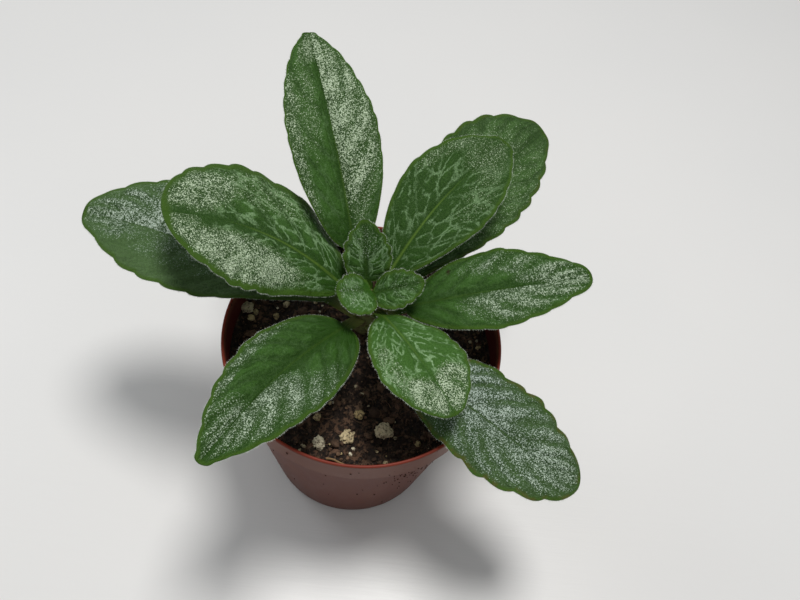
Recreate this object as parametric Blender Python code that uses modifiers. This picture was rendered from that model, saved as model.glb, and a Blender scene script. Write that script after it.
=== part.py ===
"""Potted primulina: a young rosette plant in a round plastic nursery pot.

Units are metres and +Z is up. The origin is the middle of the pot's foot, on
the surface that the pot stands on. The leaves are numbered by where they lie
as seen from the front, which is the -Y side.
"""

import math
import random

import bmesh
import bpy
from mathutils import Vector, noise

MM = 0.001

# Pot
POT_HEIGHT = 80.0
RIM_RADIUS = 45.0
FOOT_RADIUS = 31.0
COLLAR_HEIGHT = 12.0
WALL = 1.1
POT_SIDES = 64
DRAIN_HOLES = 6
DRAIN_RADIUS = 2.8
DRAIN_CIRCLE = 20.0

# Soil
SOIL_EDGE_HEIGHT = 70.0
SOIL_GAP = 0.15
MOUND_HEIGHT = 5.0
MOUND_SPREAD = 14.0
SOIL_ROUGHNESS = 1.1
STEM_HOLE_RADIUS = 4.4

# Stem
STEM_X = 0.0
STEM_Y = 7.0
STEM_RADIUS = 4.1
STEM_BOTTOM = 48.0
STEM_TOP = 94.4

# Leaves
BLADE_THICKNESS = 0.9
STALK_THICKNESS = 2.6
LEAF_ROWS = 40
YOUNG_ROWS = 18
ACROSS = (-1.0, -0.62, -0.22, 0.0, 0.22, 0.62, 1.0)


def remove_all_objects():
    """Empty the scene of the objects it starts with."""
    for obj in list(bpy.data.objects):
        bpy.data.objects.remove(obj, do_unlink=True)


def new_collection(name):
    """A collection linked to the scene."""
    collection = bpy.data.collections.new(name)
    bpy.context.scene.collection.children.link(collection)
    return collection


def material(name, colour, roughness, metallic=0.0):
    """A Principled material in one colour."""
    made = bpy.data.materials.new(name)
    made.use_nodes = True
    shader = made.node_tree.nodes["Principled BSDF"]
    shader.inputs["Base Color"].default_value = (*colour, 1.0)
    shader.inputs["Roughness"].default_value = roughness
    shader.inputs["Metallic"].default_value = metallic
    return made


def add_object(name, mesh, collection, mat=None):
    """An object for a mesh, in its collection and with its material."""
    obj = bpy.data.objects.new(name, mesh)
    collection.objects.link(obj)
    if mat is not None:
        mesh.materials.append(mat)
    return obj


def add_cutter(obj, collection):
    """Put a cutter in its own collection, out of the render."""
    for other in list(obj.users_collection):
        other.objects.unlink(obj)
    collection.objects.link(obj)
    obj.hide_render = True
    obj.display_type = "WIRE"


def turned(name, profile, collection, mat, sides):
    """A body turned round Z from a profile of (radius, height) in mm."""
    mesh = bpy.data.meshes.new(name)
    points = [(radius * MM, 0.0, height * MM) for radius, height in profile]
    edges = [(i, i + 1) for i in range(len(points) - 1)]
    mesh.from_pydata(points, edges, [])
    obj = add_object(name, mesh, collection, mat)
    screw = obj.modifiers.new("Turn", "SCREW")
    screw.axis = "Z"
    screw.steps = sides
    screw.render_steps = sides
    screw.use_merge_vertices = True
    screw.merge_threshold = 0.00001
    screw.use_smooth_shade = True
    return obj


def boolean(obj, operation, other=None, collection=None):
    """A Boolean with one object or with a collection of them."""
    mod = obj.modifiers.new("Cut" if operation == "DIFFERENCE" else "Join", "BOOLEAN")
    mod.operation = operation
    mod.solver = "EXACT"
    if collection is None:
        mod.object = other
    else:
        mod.operand_type = "COLLECTION"
        mod.collection = collection
    return mod


def apply_modifiers(obj):
    """Make an object's evaluated shape its own mesh."""
    depsgraph = bpy.context.evaluated_depsgraph_get()
    mesh = bpy.data.meshes.new_from_object(obj.evaluated_get(depsgraph))
    obj.modifiers.clear()
    obj.data = mesh


def cylinder(name, radius, bottom, top, x, y, sides, collection):
    """An upright cylinder cutter, sizes in mm."""
    bpy.ops.mesh.primitive_cylinder_add(
        vertices=sides, radius=radius * MM, depth=(top - bottom) * MM,
        location=(x * MM, y * MM, (top + bottom) / 2 * MM))
    obj = bpy.context.object
    obj.name = name
    add_cutter(obj, collection)
    return obj


def build_pot(parts, mat):
    """The pot: a tapered cup with a stepped collar and drain holes."""
    step = POT_HEIGHT - COLLAR_HEIGHT
    profile = (
        (0.0, 1.5),
        (FOOT_RADIUS - 2.2, 1.5),
        (FOOT_RADIUS - 1.2, 2.3),
        (41.0, step - 0.3),
        (43.0, step + 0.9),
        (44.0, POT_HEIGHT - 0.4),
        (44.4, POT_HEIGHT),
        (44.8, POT_HEIGHT - 0.1),
        (RIM_RADIUS, POT_HEIGHT - 0.6),
        (44.1, step + 0.5),
        (43.7, step),
        (42.2, step - 0.3),
        (FOOT_RADIUS + 0.2, 1.2),
        (FOOT_RADIUS - 0.2, 0.3),
        (FOOT_RADIUS - 0.8, 0.0),
        (0.0, 0.0),
    )
    pot = turned("pot", profile, parts, mat, POT_SIDES)
    drains = new_collection("drain_cutters")
    for i in range(DRAIN_HOLES):
        angle = 2 * math.pi * (i + 0.5) / DRAIN_HOLES
        cylinder("drain_cutter_%d" % i, DRAIN_RADIUS, -1.0, 2.5,
                 DRAIN_CIRCLE * math.cos(angle), DRAIN_CIRCLE * math.sin(angle),
                 16, drains)
    boolean(pot, "DIFFERENCE", collection=drains)
    return pot


def soil_height(x, y):
    """Height of the soil in mm at a place in mm."""
    away = math.hypot(x - STEM_X, y - STEM_Y)
    mound = MOUND_HEIGHT * math.exp(-((away / MOUND_SPREAD) ** 2))
    coarse = noise.noise(Vector((x * 0.11, y * 0.11, 3.7)))
    fine = noise.noise(Vector((x * 0.32, y * 0.32, 8.1)))
    inside = max(0.0, 1.0 - (math.hypot(x, y) / 43.0) ** 6)
    return SOIL_EDGE_HEIGHT + mound + inside * SOIL_ROUGHNESS * (coarse + 0.7 * fine)


def add_grain(name, x, y, size, lift, mat, collection, rng):
    """One rough lump, sunk in the soil, size in mm."""
    mesh = bpy.data.meshes.new(name)
    shape = bmesh.new()
    bmesh.ops.create_icosphere(shape, subdivisions=1, radius=size / 2 * MM)
    stretch = (rng.uniform(0.85, 1.15), rng.uniform(0.8, 1.1), rng.uniform(0.7, 0.95))
    turn = rng.uniform(0, math.pi)
    for vert in shape.verts:
        bump = rng.uniform(0.92, 1.08)
        px = vert.co.x * stretch[0] * bump
        py = vert.co.y * stretch[1] * bump
        vert.co.x = px * math.cos(turn) - py * math.sin(turn)
        vert.co.y = px * math.sin(turn) + py * math.cos(turn)
        vert.co.z = vert.co.z * stretch[2] * bump
    bmesh.ops.translate(shape, verts=shape.verts,
                        vec=(x * MM, y * MM, (soil_height(x, y) + lift * size) * MM))
    shape.to_mesh(mesh)
    shape.free()
    add_object(name, mesh, collection, mat)


def build_soil(parts, cutters, mat):
    """The soil: fills the pot, with a rough mounded top and grains in it."""
    edge = 44.0 - SOIL_GAP - 0.9
    step = POT_HEIGHT - COLLAR_HEIGHT
    rings = 13
    top = [(edge * i / rings, SOIL_EDGE_HEIGHT) for i in range(rings + 1)]
    side = [
        (43.0 - SOIL_GAP, step + 1.05),
        (41.0 - SOIL_GAP, step - 0.15),
        (FOOT_RADIUS - 1.2 - SOIL_GAP, 2.3 + SOIL_GAP),
        (FOOT_RADIUS - 2.3, 1.5 + SOIL_GAP),
        (0.0, 1.5 + SOIL_GAP),
    ]
    soil = turned("soil", top + side, parts, mat, POT_SIDES)
    apply_modifiers(soil)
    for vert in soil.data.vertices:
        if abs(vert.co.z - SOIL_EDGE_HEIGHT * MM) < 0.00001:
            vert.co.z = soil_height(vert.co.x / MM, vert.co.y / MM) * MM
    hole = cylinder("stem_hole_cutter", STEM_HOLE_RADIUS, STEM_BOTTOM - 0.3, 90.0,
                    STEM_X, STEM_Y, 24, cutters)
    boolean(soil, "DIFFERENCE", other=hole)
    apply_modifiers(soil)

    # Perlite grains and bark chips that show, then small ones at random.
    rng = random.Random(11)
    grains = new_collection("soil_grains")
    shown = (
        (1.5, -23.5, 3.4), (-1.5, -31.5, 4.6), (10.0, -28.0, 5.0), (-10.0, -34.0, 4.0),
        (-11.5, -26.0, 2.8), (5.0, -31.0, 3.0), (-38.0, 10.5, 4.2), (-35.5, 5.0, 2.8),
        (-27.0, 14.5, 2.6), (-30.0, 8.5, 2.6), (20.0, -31.5, 2.4), (37.0, 5.5, 2.2),
    )
    placed = list(shown)
    for i, (x, y, size) in enumerate(shown):
        add_grain("grain_%d" % i, x, y, size, 0.12, mat, grains, rng)
    while len(placed) < 20:
        angle = rng.uniform(0, 2 * math.pi)
        reach = rng.uniform(14.0, 37.0)
        x = reach * math.cos(angle)
        y = reach * math.sin(angle)
        if min(math.hypot(x - p[0], y - p[1]) for p in placed) > 6.0:
            size = rng.uniform(2.4, 3.6)
            add_grain("grain_%d" % len(placed), x, y, size, 0.1, mat, grains, rng)
            placed.append((x, y, size))
    boolean(soil, "UNION", collection=grains)
    apply_modifiers(soil)
    for grain in list(grains.objects):
        bpy.data.objects.remove(grain, do_unlink=True)
    bpy.data.collections.remove(grains)
    return soil


def build_stem(parts, mat):
    """The short stem, ringed by old leaf scars, that the leaves grow from."""
    profile = (
        (0.0, STEM_TOP),
        (0.6, STEM_TOP - 0.2),
        (1.4, STEM_TOP - 1.0),
        (2.5, STEM_TOP - 1.6),
        (3.0, STEM_TOP - 2.5),
        (3.4, STEM_TOP - 3.9),
        (3.6, STEM_TOP - 4.4),
        (3.9, STEM_TOP - 5.6),
        (STEM_RADIUS, STEM_TOP - 8.4),
        (STEM_RADIUS - 0.3, STEM_TOP - 14.0),
        (STEM_RADIUS, STEM_TOP - 15.5),
        (STEM_RADIUS - 0.3, STEM_TOP - 17.0),
        (STEM_RADIUS - 0.3, STEM_BOTTOM + 0.6),
        (STEM_RADIUS - 0.9, STEM_BOTTOM),
        (0.0, STEM_BOTTOM),
    )
    stem = turned("stem", profile, parts, mat, 24)
    stem.location = (STEM_X * MM, STEM_Y * MM, 0.0)
    return stem


class Leaf:
    """The measures of one leaf. Lengths are in mm and angles in degrees.

    root: height of its foot on the stem and distance from the stem's axis
    heading: compass way it leaves the stem, turned by bend along its length
    sway: side swing of the midrib, out and back
    rise, end_rise: slope of the midrib at the foot and at the tip
    belly: where the blade is widest, blunt: how round its ends are
    stalk: share of the length that is stalk
    fold, roll, cup: how its halves lift, tip over and curl
    lean: how much wider the left half is than the right
    teeth, tooth, wave: margin teeth a side, their depth, margin waves
    """

    def __init__(self, name, root, heading, bend, sway, rise, end_rise, length,
                 half_width, belly, blunt, stalk, fold, roll, cup=-0.05, lean=0.0,
                 teeth=9, tooth=0.5, wave=0.5, foot=1.8, rows=LEAF_ROWS):
        self.name = name
        self.root = root
        self.heading = heading
        self.bend = bend
        self.sway = sway
        self.rise = rise
        self.end_rise = end_rise
        self.length = length
        self.half_width = half_width
        self.belly = belly
        self.blunt = blunt
        self.stalk = stalk
        self.fold = fold
        self.roll = roll
        self.cup = cup
        self.lean = lean
        self.teeth = teeth
        self.tooth = tooth
        self.wave = wave
        self.foot = foot
        self.rows = rows

    def slope(self, s):
        """Slope of the midrib at a share s of the length."""
        return math.radians(self.rise + (self.end_rise - self.rise) * s)

    def way(self, s):
        """Compass way of the midrib at a share s of the length."""
        swing = self.sway * math.sin(2 * math.pi * s)
        return math.radians(self.heading + self.bend * s + swing)

    def along(self, s):
        """Unit vector along the midrib."""
        flat = math.cos(self.slope(s))
        return Vector((flat * math.cos(self.way(s)), flat * math.sin(self.way(s)),
                       math.sin(self.slope(s))))

    def midrib(self):
        """Points along the midrib, one for each row, in mm."""
        height, reach = self.root
        point = Vector((STEM_X + reach * math.cos(self.way(0.0)),
                        STEM_Y + reach * math.sin(self.way(0.0)),
                        POT_HEIGHT + height))
        points = [point.copy()]
        for i in range(self.rows):
            point = point + self.along((i + 0.5) / self.rows) * (self.length / self.rows)
            points.append(point.copy())
        return points

    def half(self, s, side):
        """Half width in mm at a share s of the length on one side."""
        t = min(max((s - self.stalk) / (1 - self.stalk), 0.0), 1.0)
        body = max(math.sin(math.pi * t ** self.belly), 0.0) ** self.blunt
        width = self.half_width * body + self.foot * math.exp(-((6 * t) ** 2))
        width = width * (1 - self.lean * side)
        outer = min(max((t - 0.25) / 0.3, 0.0), 1.0) * min(1.0, (1 - t) * 12)
        lobe = abs(math.sin(math.pi * self.teeth * t + 0.6 * side))
        return width + self.tooth * (lobe - 0.6) * outer

    def surface(self, s, u, point):
        """Point of the upper face at s along and u across, in mm."""
        side = (u > 0) - (u < 0)
        along = self.along(s)
        across = Vector((math.sin(self.way(s)), -math.cos(self.way(s)), 0.0))
        normal = across.cross(along)
        tip = math.radians(self.roll) * min(3 * s, 1.0)
        right = across * math.cos(tip) + normal * math.sin(tip)
        up = normal * math.cos(tip) - across * math.sin(tip)
        width = self.half(s, side)
        lift = math.radians(self.fold)
        t = min(max((s - self.stalk) / (1 - self.stalk), 0.0), 1.0)
        swell = self.wave * u * u * math.sin(math.pi * t)
        swell = swell * math.sin(2 * math.pi * (3.4 * t + 0.3 * side) + self.heading)
        out = right * (u * math.cos(lift) * width)
        rise = up * ((abs(u) * math.sin(lift) + self.cup * u * u) * width + swell)
        return point + out + rise


LEAVES = (
    Leaf("leaf_back", root=(4.5, 4.4), heading=113, bend=-3, sway=-1, rise=53,
         end_rise=15.5, length=88, half_width=16, belly=0.97, blunt=0.66, stalk=0.19,
         fold=21, roll=-6.5, lean=0.08, tooth=0.3, wave=0.4),
    Leaf("leaf_upper_right", root=(8, 4.3), heading=55, bend=-6.5, sway=2.5, rise=46,
         end_rise=5.5, length=67, half_width=16, belly=1.13, blunt=0.65, stalk=0.13,
         fold=11, roll=-5.5, lean=-0.03, tooth=0.4, wave=0.4),
    Leaf("leaf_upper_right_low", root=(1.5, 4.4), heading=56.5, bend=-11.5, sway=-6.5,
         rise=31, end_rise=-1.5, length=88.5, half_width=18.5, belly=1.4, blunt=0.64,
         stalk=0.05, fold=11.5, roll=-23, lean=0.17, teeth=11, tooth=1.0, wave=0.5),
    Leaf("leaf_right", root=(4, 4.4), heading=-2, bend=14, sway=0.5, rise=35.5,
         end_rise=7, length=68.5, half_width=14, belly=0.94, blunt=0.75, stalk=0.14,
         fold=12, roll=-5, lean=-0.03, tooth=0.5, wave=0.6),
    Leaf("leaf_lower_right", root=(1.5, 4.4), heading=-61, bend=55.5, sway=10.5, rise=13,
         end_rise=-17, length=83, half_width=16, belly=1.23, blunt=0.52, stalk=0.16,
         fold=9, roll=-4.5, cup=-0.06, lean=-0.02, tooth=1.1, wave=1.0),
    Leaf("leaf_front", root=(9.8, 4.0), heading=-54.5, bend=-2, sway=-2.5, rise=41,
         end_rise=-19, length=49, half_width=15, belly=1.3, blunt=0.61, stalk=0.15,
         fold=13, roll=12.5, lean=-0.13, tooth=0.5, wave=0.4, foot=1.6),
    Leaf("leaf_lower_left", root=(4.5, 4.3), heading=-123, bend=6.5, sway=-2.5, rise=29,
         end_rise=6.5, length=75.5, half_width=15, belly=0.86, blunt=0.68, stalk=0.1,
         fold=14, roll=5, cup=-0.06, lean=0.11, tooth=0.6, wave=0.5),
    Leaf("leaf_upper_left", root=(8.5, 4.2), heading=162, bend=41, sway=-2, rise=45.5,
         end_rise=22, length=68, half_width=21.5, belly=1.4, blunt=0.49, stalk=0.08,
         fold=3.5, roll=3, cup=-0.07, lean=-0.02, teeth=10, tooth=0.9, wave=0.7),
    Leaf("leaf_left_low", root=(1.5, 4.4), heading=166, bend=16, sway=5.5, rise=26,
         end_rise=6, length=88.5, half_width=19, belly=1.43, blunt=0.64, stalk=0.11,
         fold=12.5, roll=3, lean=0.01, teeth=10, tooth=0.9, wave=0.7, foot=2.0),
    Leaf("leaf_young_back", root=(10.5, 3.9), heading=101, bend=3.5, sway=2, rise=66,
         end_rise=37.5, length=22.7, half_width=8.2, belly=0.85, blunt=0.66, stalk=0.13,
         fold=22.5, roll=5.5, cup=0.06, lean=-0.07, teeth=5, tooth=0.4, wave=0.3,
         foot=1.6, rows=YOUNG_ROWS),
    Leaf("leaf_young_left", root=(16.2, 0.7), heading=206, bend=-7, sway=4, rise=23.5,
         end_rise=-0.5, length=10.1, half_width=7.9, belly=0.82, blunt=0.44, stalk=0.0,
         fold=17, roll=10, cup=0.08, lean=0.31, teeth=4, tooth=0.2, wave=0.2,
         foot=1.4, rows=YOUNG_ROWS),
    Leaf("leaf_young_right", root=(14.4, 1.7), heading=-2, bend=10.5, sway=-1, rise=35,
         end_rise=19.5, length=17, half_width=6.6, belly=0.85, blunt=0.53, stalk=0.02,
         fold=11.5, roll=-17.5, cup=0.04, lean=-0.13, teeth=4, tooth=0.3, wave=0.2,
         foot=1.0, rows=YOUNG_ROWS),
)


def build_leaf(leaf, parts, mat):
    """One leaf: a formed sheet, made solid by a thickness that its stalk swells."""
    columns = len(ACROSS) - 1
    mesh = bpy.data.meshes.new(leaf.name)
    sheet = bmesh.new()
    bmesh.ops.create_grid(sheet, x_segments=leaf.rows, y_segments=columns, size=0.5)
    midrib = leaf.midrib()
    weights = {}
    for vert in sheet.verts:
        row = round((vert.co.x + 0.5) * leaf.rows)
        column = round((vert.co.y + 0.5) * columns)
        s = row / leaf.rows
        u = -ACROSS[column]
        vert.co = leaf.surface(s, u, midrib[row]) * MM
        stalk = math.exp(-((s / 0.13) ** 2)) * (1 - 0.75 * u * u)
        keel = 0.28 * (1 - s) if column == columns // 2 else 0.0
        thin = BLADE_THICKNESS / STALK_THICKNESS
        weights[vert.index] = min(1.0, thin + (1 - thin) * max(stalk, keel))
    sheet.verts.ensure_lookup_table()
    bmesh.ops.triangulate(sheet, faces=sheet.faces, quad_method="FIXED")
    sheet.to_mesh(mesh)
    sheet.free()
    obj = add_object(leaf.name, mesh, parts, mat)
    group = obj.vertex_groups.new(name="thickness")
    for index, weight in weights.items():
        group.add([index], weight, "REPLACE")
    weld = obj.modifiers.new("Tip", "WELD")
    weld.merge_threshold = 0.00008
    solid = obj.modifiers.new("Thickness", "SOLIDIFY")
    solid.thickness = STALK_THICKNESS * MM
    solid.offset = -1.0
    solid.vertex_group = group.name
    solid.use_even_offset = False
    for polygon in mesh.polygons:
        polygon.use_smooth = True
    return obj


def main():
    """Build the whole plant."""
    remove_all_objects()
    parts = new_collection("potted_primulina")
    cutters = new_collection("cutters")
    terracotta = material("pot_plastic", (0.20, 0.070, 0.050), 0.42)
    peat = material("peat", (0.022, 0.014, 0.010), 0.95)
    stem_green = material("stem_green", (0.12, 0.13, 0.035), 0.6)
    leaf_green = material("leaf_green", (0.045, 0.12, 0.022), 0.55)
    young_green = material("young_leaf_green", (0.07, 0.15, 0.05), 0.6)
    build_pot(parts, terracotta)
    build_soil(parts, cutters, peat)
    build_stem(parts, stem_green)
    for leaf in LEAVES:
        young = leaf.rows == YOUNG_ROWS
        build_leaf(leaf, parts, young_green if young else leaf_green)


main()
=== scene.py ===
"""Finished look of the potted primulina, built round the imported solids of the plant.

The file is laid out as an add-on: settings, one operator for each group of pieces and a
panel. Lengths in the tables are millimetres, and meshes are metres with +Z up.
"""

import math
import random
from dataclasses import dataclass

import bmesh
import bpy
import numpy as np
from bpy.props import FloatProperty, FloatVectorProperty, IntProperty, PointerProperty
from mathutils import Matrix, Vector, noise


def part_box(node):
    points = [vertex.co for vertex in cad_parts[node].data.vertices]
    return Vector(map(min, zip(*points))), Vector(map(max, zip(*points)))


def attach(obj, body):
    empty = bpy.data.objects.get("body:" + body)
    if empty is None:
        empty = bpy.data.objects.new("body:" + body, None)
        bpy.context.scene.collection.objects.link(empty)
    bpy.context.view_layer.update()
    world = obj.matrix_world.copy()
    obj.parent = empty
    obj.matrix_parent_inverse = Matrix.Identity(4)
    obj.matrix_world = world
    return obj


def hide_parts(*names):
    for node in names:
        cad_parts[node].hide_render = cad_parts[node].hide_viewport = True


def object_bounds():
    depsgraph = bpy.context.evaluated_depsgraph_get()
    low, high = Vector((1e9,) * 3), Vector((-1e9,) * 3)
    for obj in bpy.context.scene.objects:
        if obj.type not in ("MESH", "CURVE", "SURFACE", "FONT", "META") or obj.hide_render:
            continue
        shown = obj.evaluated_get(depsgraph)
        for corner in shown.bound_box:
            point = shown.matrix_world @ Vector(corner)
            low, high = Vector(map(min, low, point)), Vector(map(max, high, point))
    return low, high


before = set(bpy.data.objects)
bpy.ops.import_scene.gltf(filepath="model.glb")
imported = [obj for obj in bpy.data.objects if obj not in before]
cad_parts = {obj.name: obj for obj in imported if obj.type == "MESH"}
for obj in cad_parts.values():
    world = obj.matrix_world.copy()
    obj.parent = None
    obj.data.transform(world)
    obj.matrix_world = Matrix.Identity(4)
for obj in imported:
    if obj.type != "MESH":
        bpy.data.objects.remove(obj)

bl_info = {
    "name": "Potted Primulina",
    "version": (1, 0, 0),
    "blender": (4, 5, 0),
    "location": "3D View > Sidebar > Primulina",
    "description": "Builds a potted primulina with hairy silvered leaves in a plastic pot",
    "category": "Add Mesh",
}

MM = 0.001
CAD_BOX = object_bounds()

# Places, heights and radii that the solids fix, in mm
STEM_X = 0.0
STEM_Y = 7.0
STEM_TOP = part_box("stem")[1].z / MM
STEM_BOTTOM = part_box("stem")[0].z / MM
STEM_RADIUS = 4.1
POT_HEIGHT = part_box("pot")[1].z / MM
POT_STEP = 68.0
POT_FOOT = 31.0
SOIL_EDGE_HEIGHT = 70.0
SOIL_RADIUS = 42.95
MOUND_HEIGHT = 5.0
MOUND_SPREAD = 14.0


# Shader tools

class Value:
    """A socket of a material's nodes that Python sums can use."""

    def __init__(self, paint, socket):
        self.paint = paint
        self.socket = socket

    def __add__(self, other):
        return self.paint.math("ADD", self, other)

    __radd__ = __add__

    def __sub__(self, other):
        return self.paint.math("SUBTRACT", self, other)

    def __rsub__(self, other):
        return self.paint.math("SUBTRACT", other, self)

    def __mul__(self, other):
        return self.paint.math("MULTIPLY", self, other)

    __rmul__ = __mul__

    def __pow__(self, other):
        return self.paint.math("POWER", self, other)

    def __abs__(self):
        return self.paint.math("ABSOLUTE", self)

    def fract(self):
        """The part after the decimal point."""
        return self.paint.math("FRACT", self)

    def most(self, other):
        """The larger of two numbers."""
        return self.paint.math("MAXIMUM", self, other)


class Paint:
    """One material while its nodes are laid."""

    def __init__(self, name):
        self.material = bpy.data.materials.new(name)
        self.material.use_nodes = True
        self.tree = self.material.node_tree
        self.shader = self.tree.nodes["Principled BSDF"]

    def join(self, socket, value):
        """Link a socket, or set it."""
        if isinstance(value, Value):
            self.tree.links.new(value.socket, socket)
        elif socket.type == "RGBA":
            socket.default_value = (*tuple(value)[:3], 1.0)
        else:
            socket.default_value = value

    def node(self, kind, settings, sockets, output=0):
        """Any node: its type, its settings, then what its sockets get."""
        made = self.tree.nodes.new(kind)
        for key, value in settings.items():
            setattr(made, key, value)
        for key, value in sockets.items():
            self.join(made.inputs[key], value)
        return Value(self, made.outputs[output])

    def math(self, operation, *values):
        """A sum of numbers."""
        return self.node("ShaderNodeMath", {"operation": operation}, dict(enumerate(values)))

    def vector(self, operation, *values):
        """A sum of vectors."""
        return self.node("ShaderNodeVectorMath", {"operation": operation},
                         dict(enumerate(values)))

    def mix(self, factor, first, second, blend="MIX"):
        """Two colours mixed by a factor."""
        return self.node("ShaderNodeMix", {"data_type": "RGBA", "blend_type": blend},
                         {0: factor, 6: first, 7: second}, 2)

    def smooth(self, value, low, high):
        """A soft step from 0 to 1 between two limits."""
        return self.node("ShaderNodeMapRange", {"interpolation_type": "SMOOTHSTEP"},
                         {"Value": value, "From Min": low, "From Max": high})

    def noise(self, place, scale, detail=2.0, roughness=0.55, distortion=0.0):
        """Cloudy noise from 0 to 1, with most of it near a half."""
        return self.node("ShaderNodeTexNoise", {},
                         {"Vector": place, "Scale": scale, "Detail": detail,
                          "Roughness": roughness, "Distortion": distortion})

    def cells(self, place, scale, feature="F1"):
        """Cell pattern: distance to the points or to the cell edges."""
        return self.node("ShaderNodeTexVoronoi", {"feature": feature},
                         {"Vector": place, "Scale": scale})

    def part(self, vector, index):
        """One number of a vector."""
        return self.node("ShaderNodeSeparateXYZ", {}, {0: vector}, index)

    def attribute(self, name):
        """A number that the mesh carries."""
        return self.node("ShaderNodeAttribute", {"attribute_name": name}, {}, 2)

    def object_place(self):
        """Object coordinates."""
        return self.node("ShaderNodeTexCoord", {}, {}, 3)

    def bump(self, height, depth, strength=1.0):
        """A bump of a depth in metres."""
        return self.node("ShaderNodeBump", {},
                         {"Height": height, "Distance": depth, "Strength": strength})

    def finish(self, **sockets):
        """Set or link the shader's own sockets, whose names are given with underscores."""
        for key, value in sockets.items():
            self.join(self.shader.inputs[key.replace("_", " ")], value)
        return self.material


# Mesh tools

def deselect_all():
    """Leave nothing selected."""
    for obj in bpy.context.selected_objects:
        obj.select_set(False)


def activate(obj):
    """Select one object alone and make it the active one."""
    deselect_all()
    obj.select_set(True)
    bpy.context.view_layer.objects.active = obj


def apply_modifier(obj, modifier):
    """Apply one modifier."""
    activate(obj)
    bpy.ops.object.modifier_apply(modifier=modifier.name)


def new_object(name, mesh):
    """An object for a mesh, linked to the scene and active."""
    obj = bpy.data.objects.new(name, mesh)
    bpy.context.scene.collection.objects.link(obj)
    activate(obj)
    return obj


def mesh_object(name, points, faces):
    """An object from points in mm and faces."""
    mesh = bpy.data.meshes.new(name)
    mesh.from_pydata((np.asarray(points) * MM).tolist(), [], faces)
    mesh.update()
    return new_object(name, mesh)


def read_points(mesh):
    """A mesh's points in metres."""
    flat = np.empty(len(mesh.vertices) * 3)
    mesh.vertices.foreach_get("co", flat)
    return flat.reshape(-1, 3)


def write_points(mesh, points):
    """Move a mesh's points to new places in metres."""
    mesh.vertices.foreach_set("co", np.ascontiguousarray(points, dtype=np.float32).ravel())
    mesh.update()


def add_attribute(mesh, name, values):
    """Give every point of a mesh a number."""
    layer = mesh.attributes.new(name, "FLOAT", "POINT")
    values = np.broadcast_to(np.asarray(values, dtype=np.float32), len(mesh.vertices))
    layer.data.foreach_set("value", np.ascontiguousarray(values))


def smooth_by_angle(obj, degrees):
    """Smooth shading, with edges sharper than an angle kept."""
    activate(obj)
    bpy.ops.object.shade_smooth_by_angle(angle=math.radians(degrees))


def outward_normals(obj):
    """Merge doubles and turn every face outwards."""
    activate(obj)
    bpy.ops.object.mode_set(mode="EDIT")
    bpy.ops.mesh.select_all(action="SELECT")
    bpy.ops.mesh.remove_doubles(threshold=0.000005)
    bpy.ops.mesh.normals_make_consistent(inside=False)
    bpy.ops.object.mode_set(mode="OBJECT")


def settle(obj, slot, *nodes):
    """Hand a finished piece over: it rides on the body and stands for its solids."""
    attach(obj, "root")
    if nodes:
        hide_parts(*nodes)


def turned(name, profile, sides):
    """A body turned round Z from (radius, height) points in mm."""
    mesh = bpy.data.meshes.new(name)
    points = [(radius * MM, 0.0, height * MM) for radius, height in profile]
    mesh.from_pydata(points, [(i, i + 1) for i in range(len(points) - 1)], [])
    obj = new_object(name, mesh)
    screw = obj.modifiers.new("Turn", "SCREW")
    screw.axis = "Z"
    screw.steps = sides
    screw.render_steps = sides
    screw.use_merge_vertices = True
    screw.merge_threshold = 0.00001
    apply_modifier(obj, screw)
    outward_normals(obj)
    return obj


def soft_step(value, low, high):
    """A soft step between two limits, for arrays."""
    t = np.clip((value - low) / (high - low), 0.0, 1.0)
    return t * t * (3 - 2 * t)


# Settings

def colour_setting(name, description, default):
    """A colour that the panel shows."""
    return FloatVectorProperty(name=name, description=description, default=default,
                               subtype="COLOR", size=3, min=0.0, max=1.0)


def length_setting(name, description, default, least=0.0):
    """A length that the panel shows, in metres."""
    return FloatProperty(name=name, description=description, default=default,
                         unit="LENGTH", min=least)


class PotSettings(bpy.types.PropertyGroup):
    """The plastic pot."""

    colour: colour_setting("Colour", "Colour of the plastic", (0.106, 0.025, 0.013))
    rim_colour: colour_setting(
        "Rim colour", "Colour where light shines through the thin rim", (0.22, 0.030, 0.015))
    rim_radius: length_setting("Rim radius", "Outer radius of the rim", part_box("pot")[1].x)
    sides: IntProperty(
        name="Sides", description="Flat faces round the pot", default=160, min=24)


class SoilSettings(bpy.types.PropertyGroup):
    """The compost and what lies in it."""

    colour: colour_setting("Colour", "Colour of the moist peat", (0.031, 0.018, 0.012))
    fibre_colour: colour_setting(
        "Fibre colour", "Colour of dry fibres and crumbs", (0.20, 0.115, 0.068))
    perlite_colour: colour_setting(
        "Perlite colour", "Colour of the perlite grains", (0.72, 0.67, 0.52))
    roughness: length_setting(
        "Crumb height", "Height of the crumbs in the surface", 0.0011)
    fibres: IntProperty(
        name="Fibres", description="Loose fibres on the surface", default=170, min=0)
    crumbs: IntProperty(
        name="Crumbs", description="Loose crumbs on the surface", default=1700, min=0)


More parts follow.
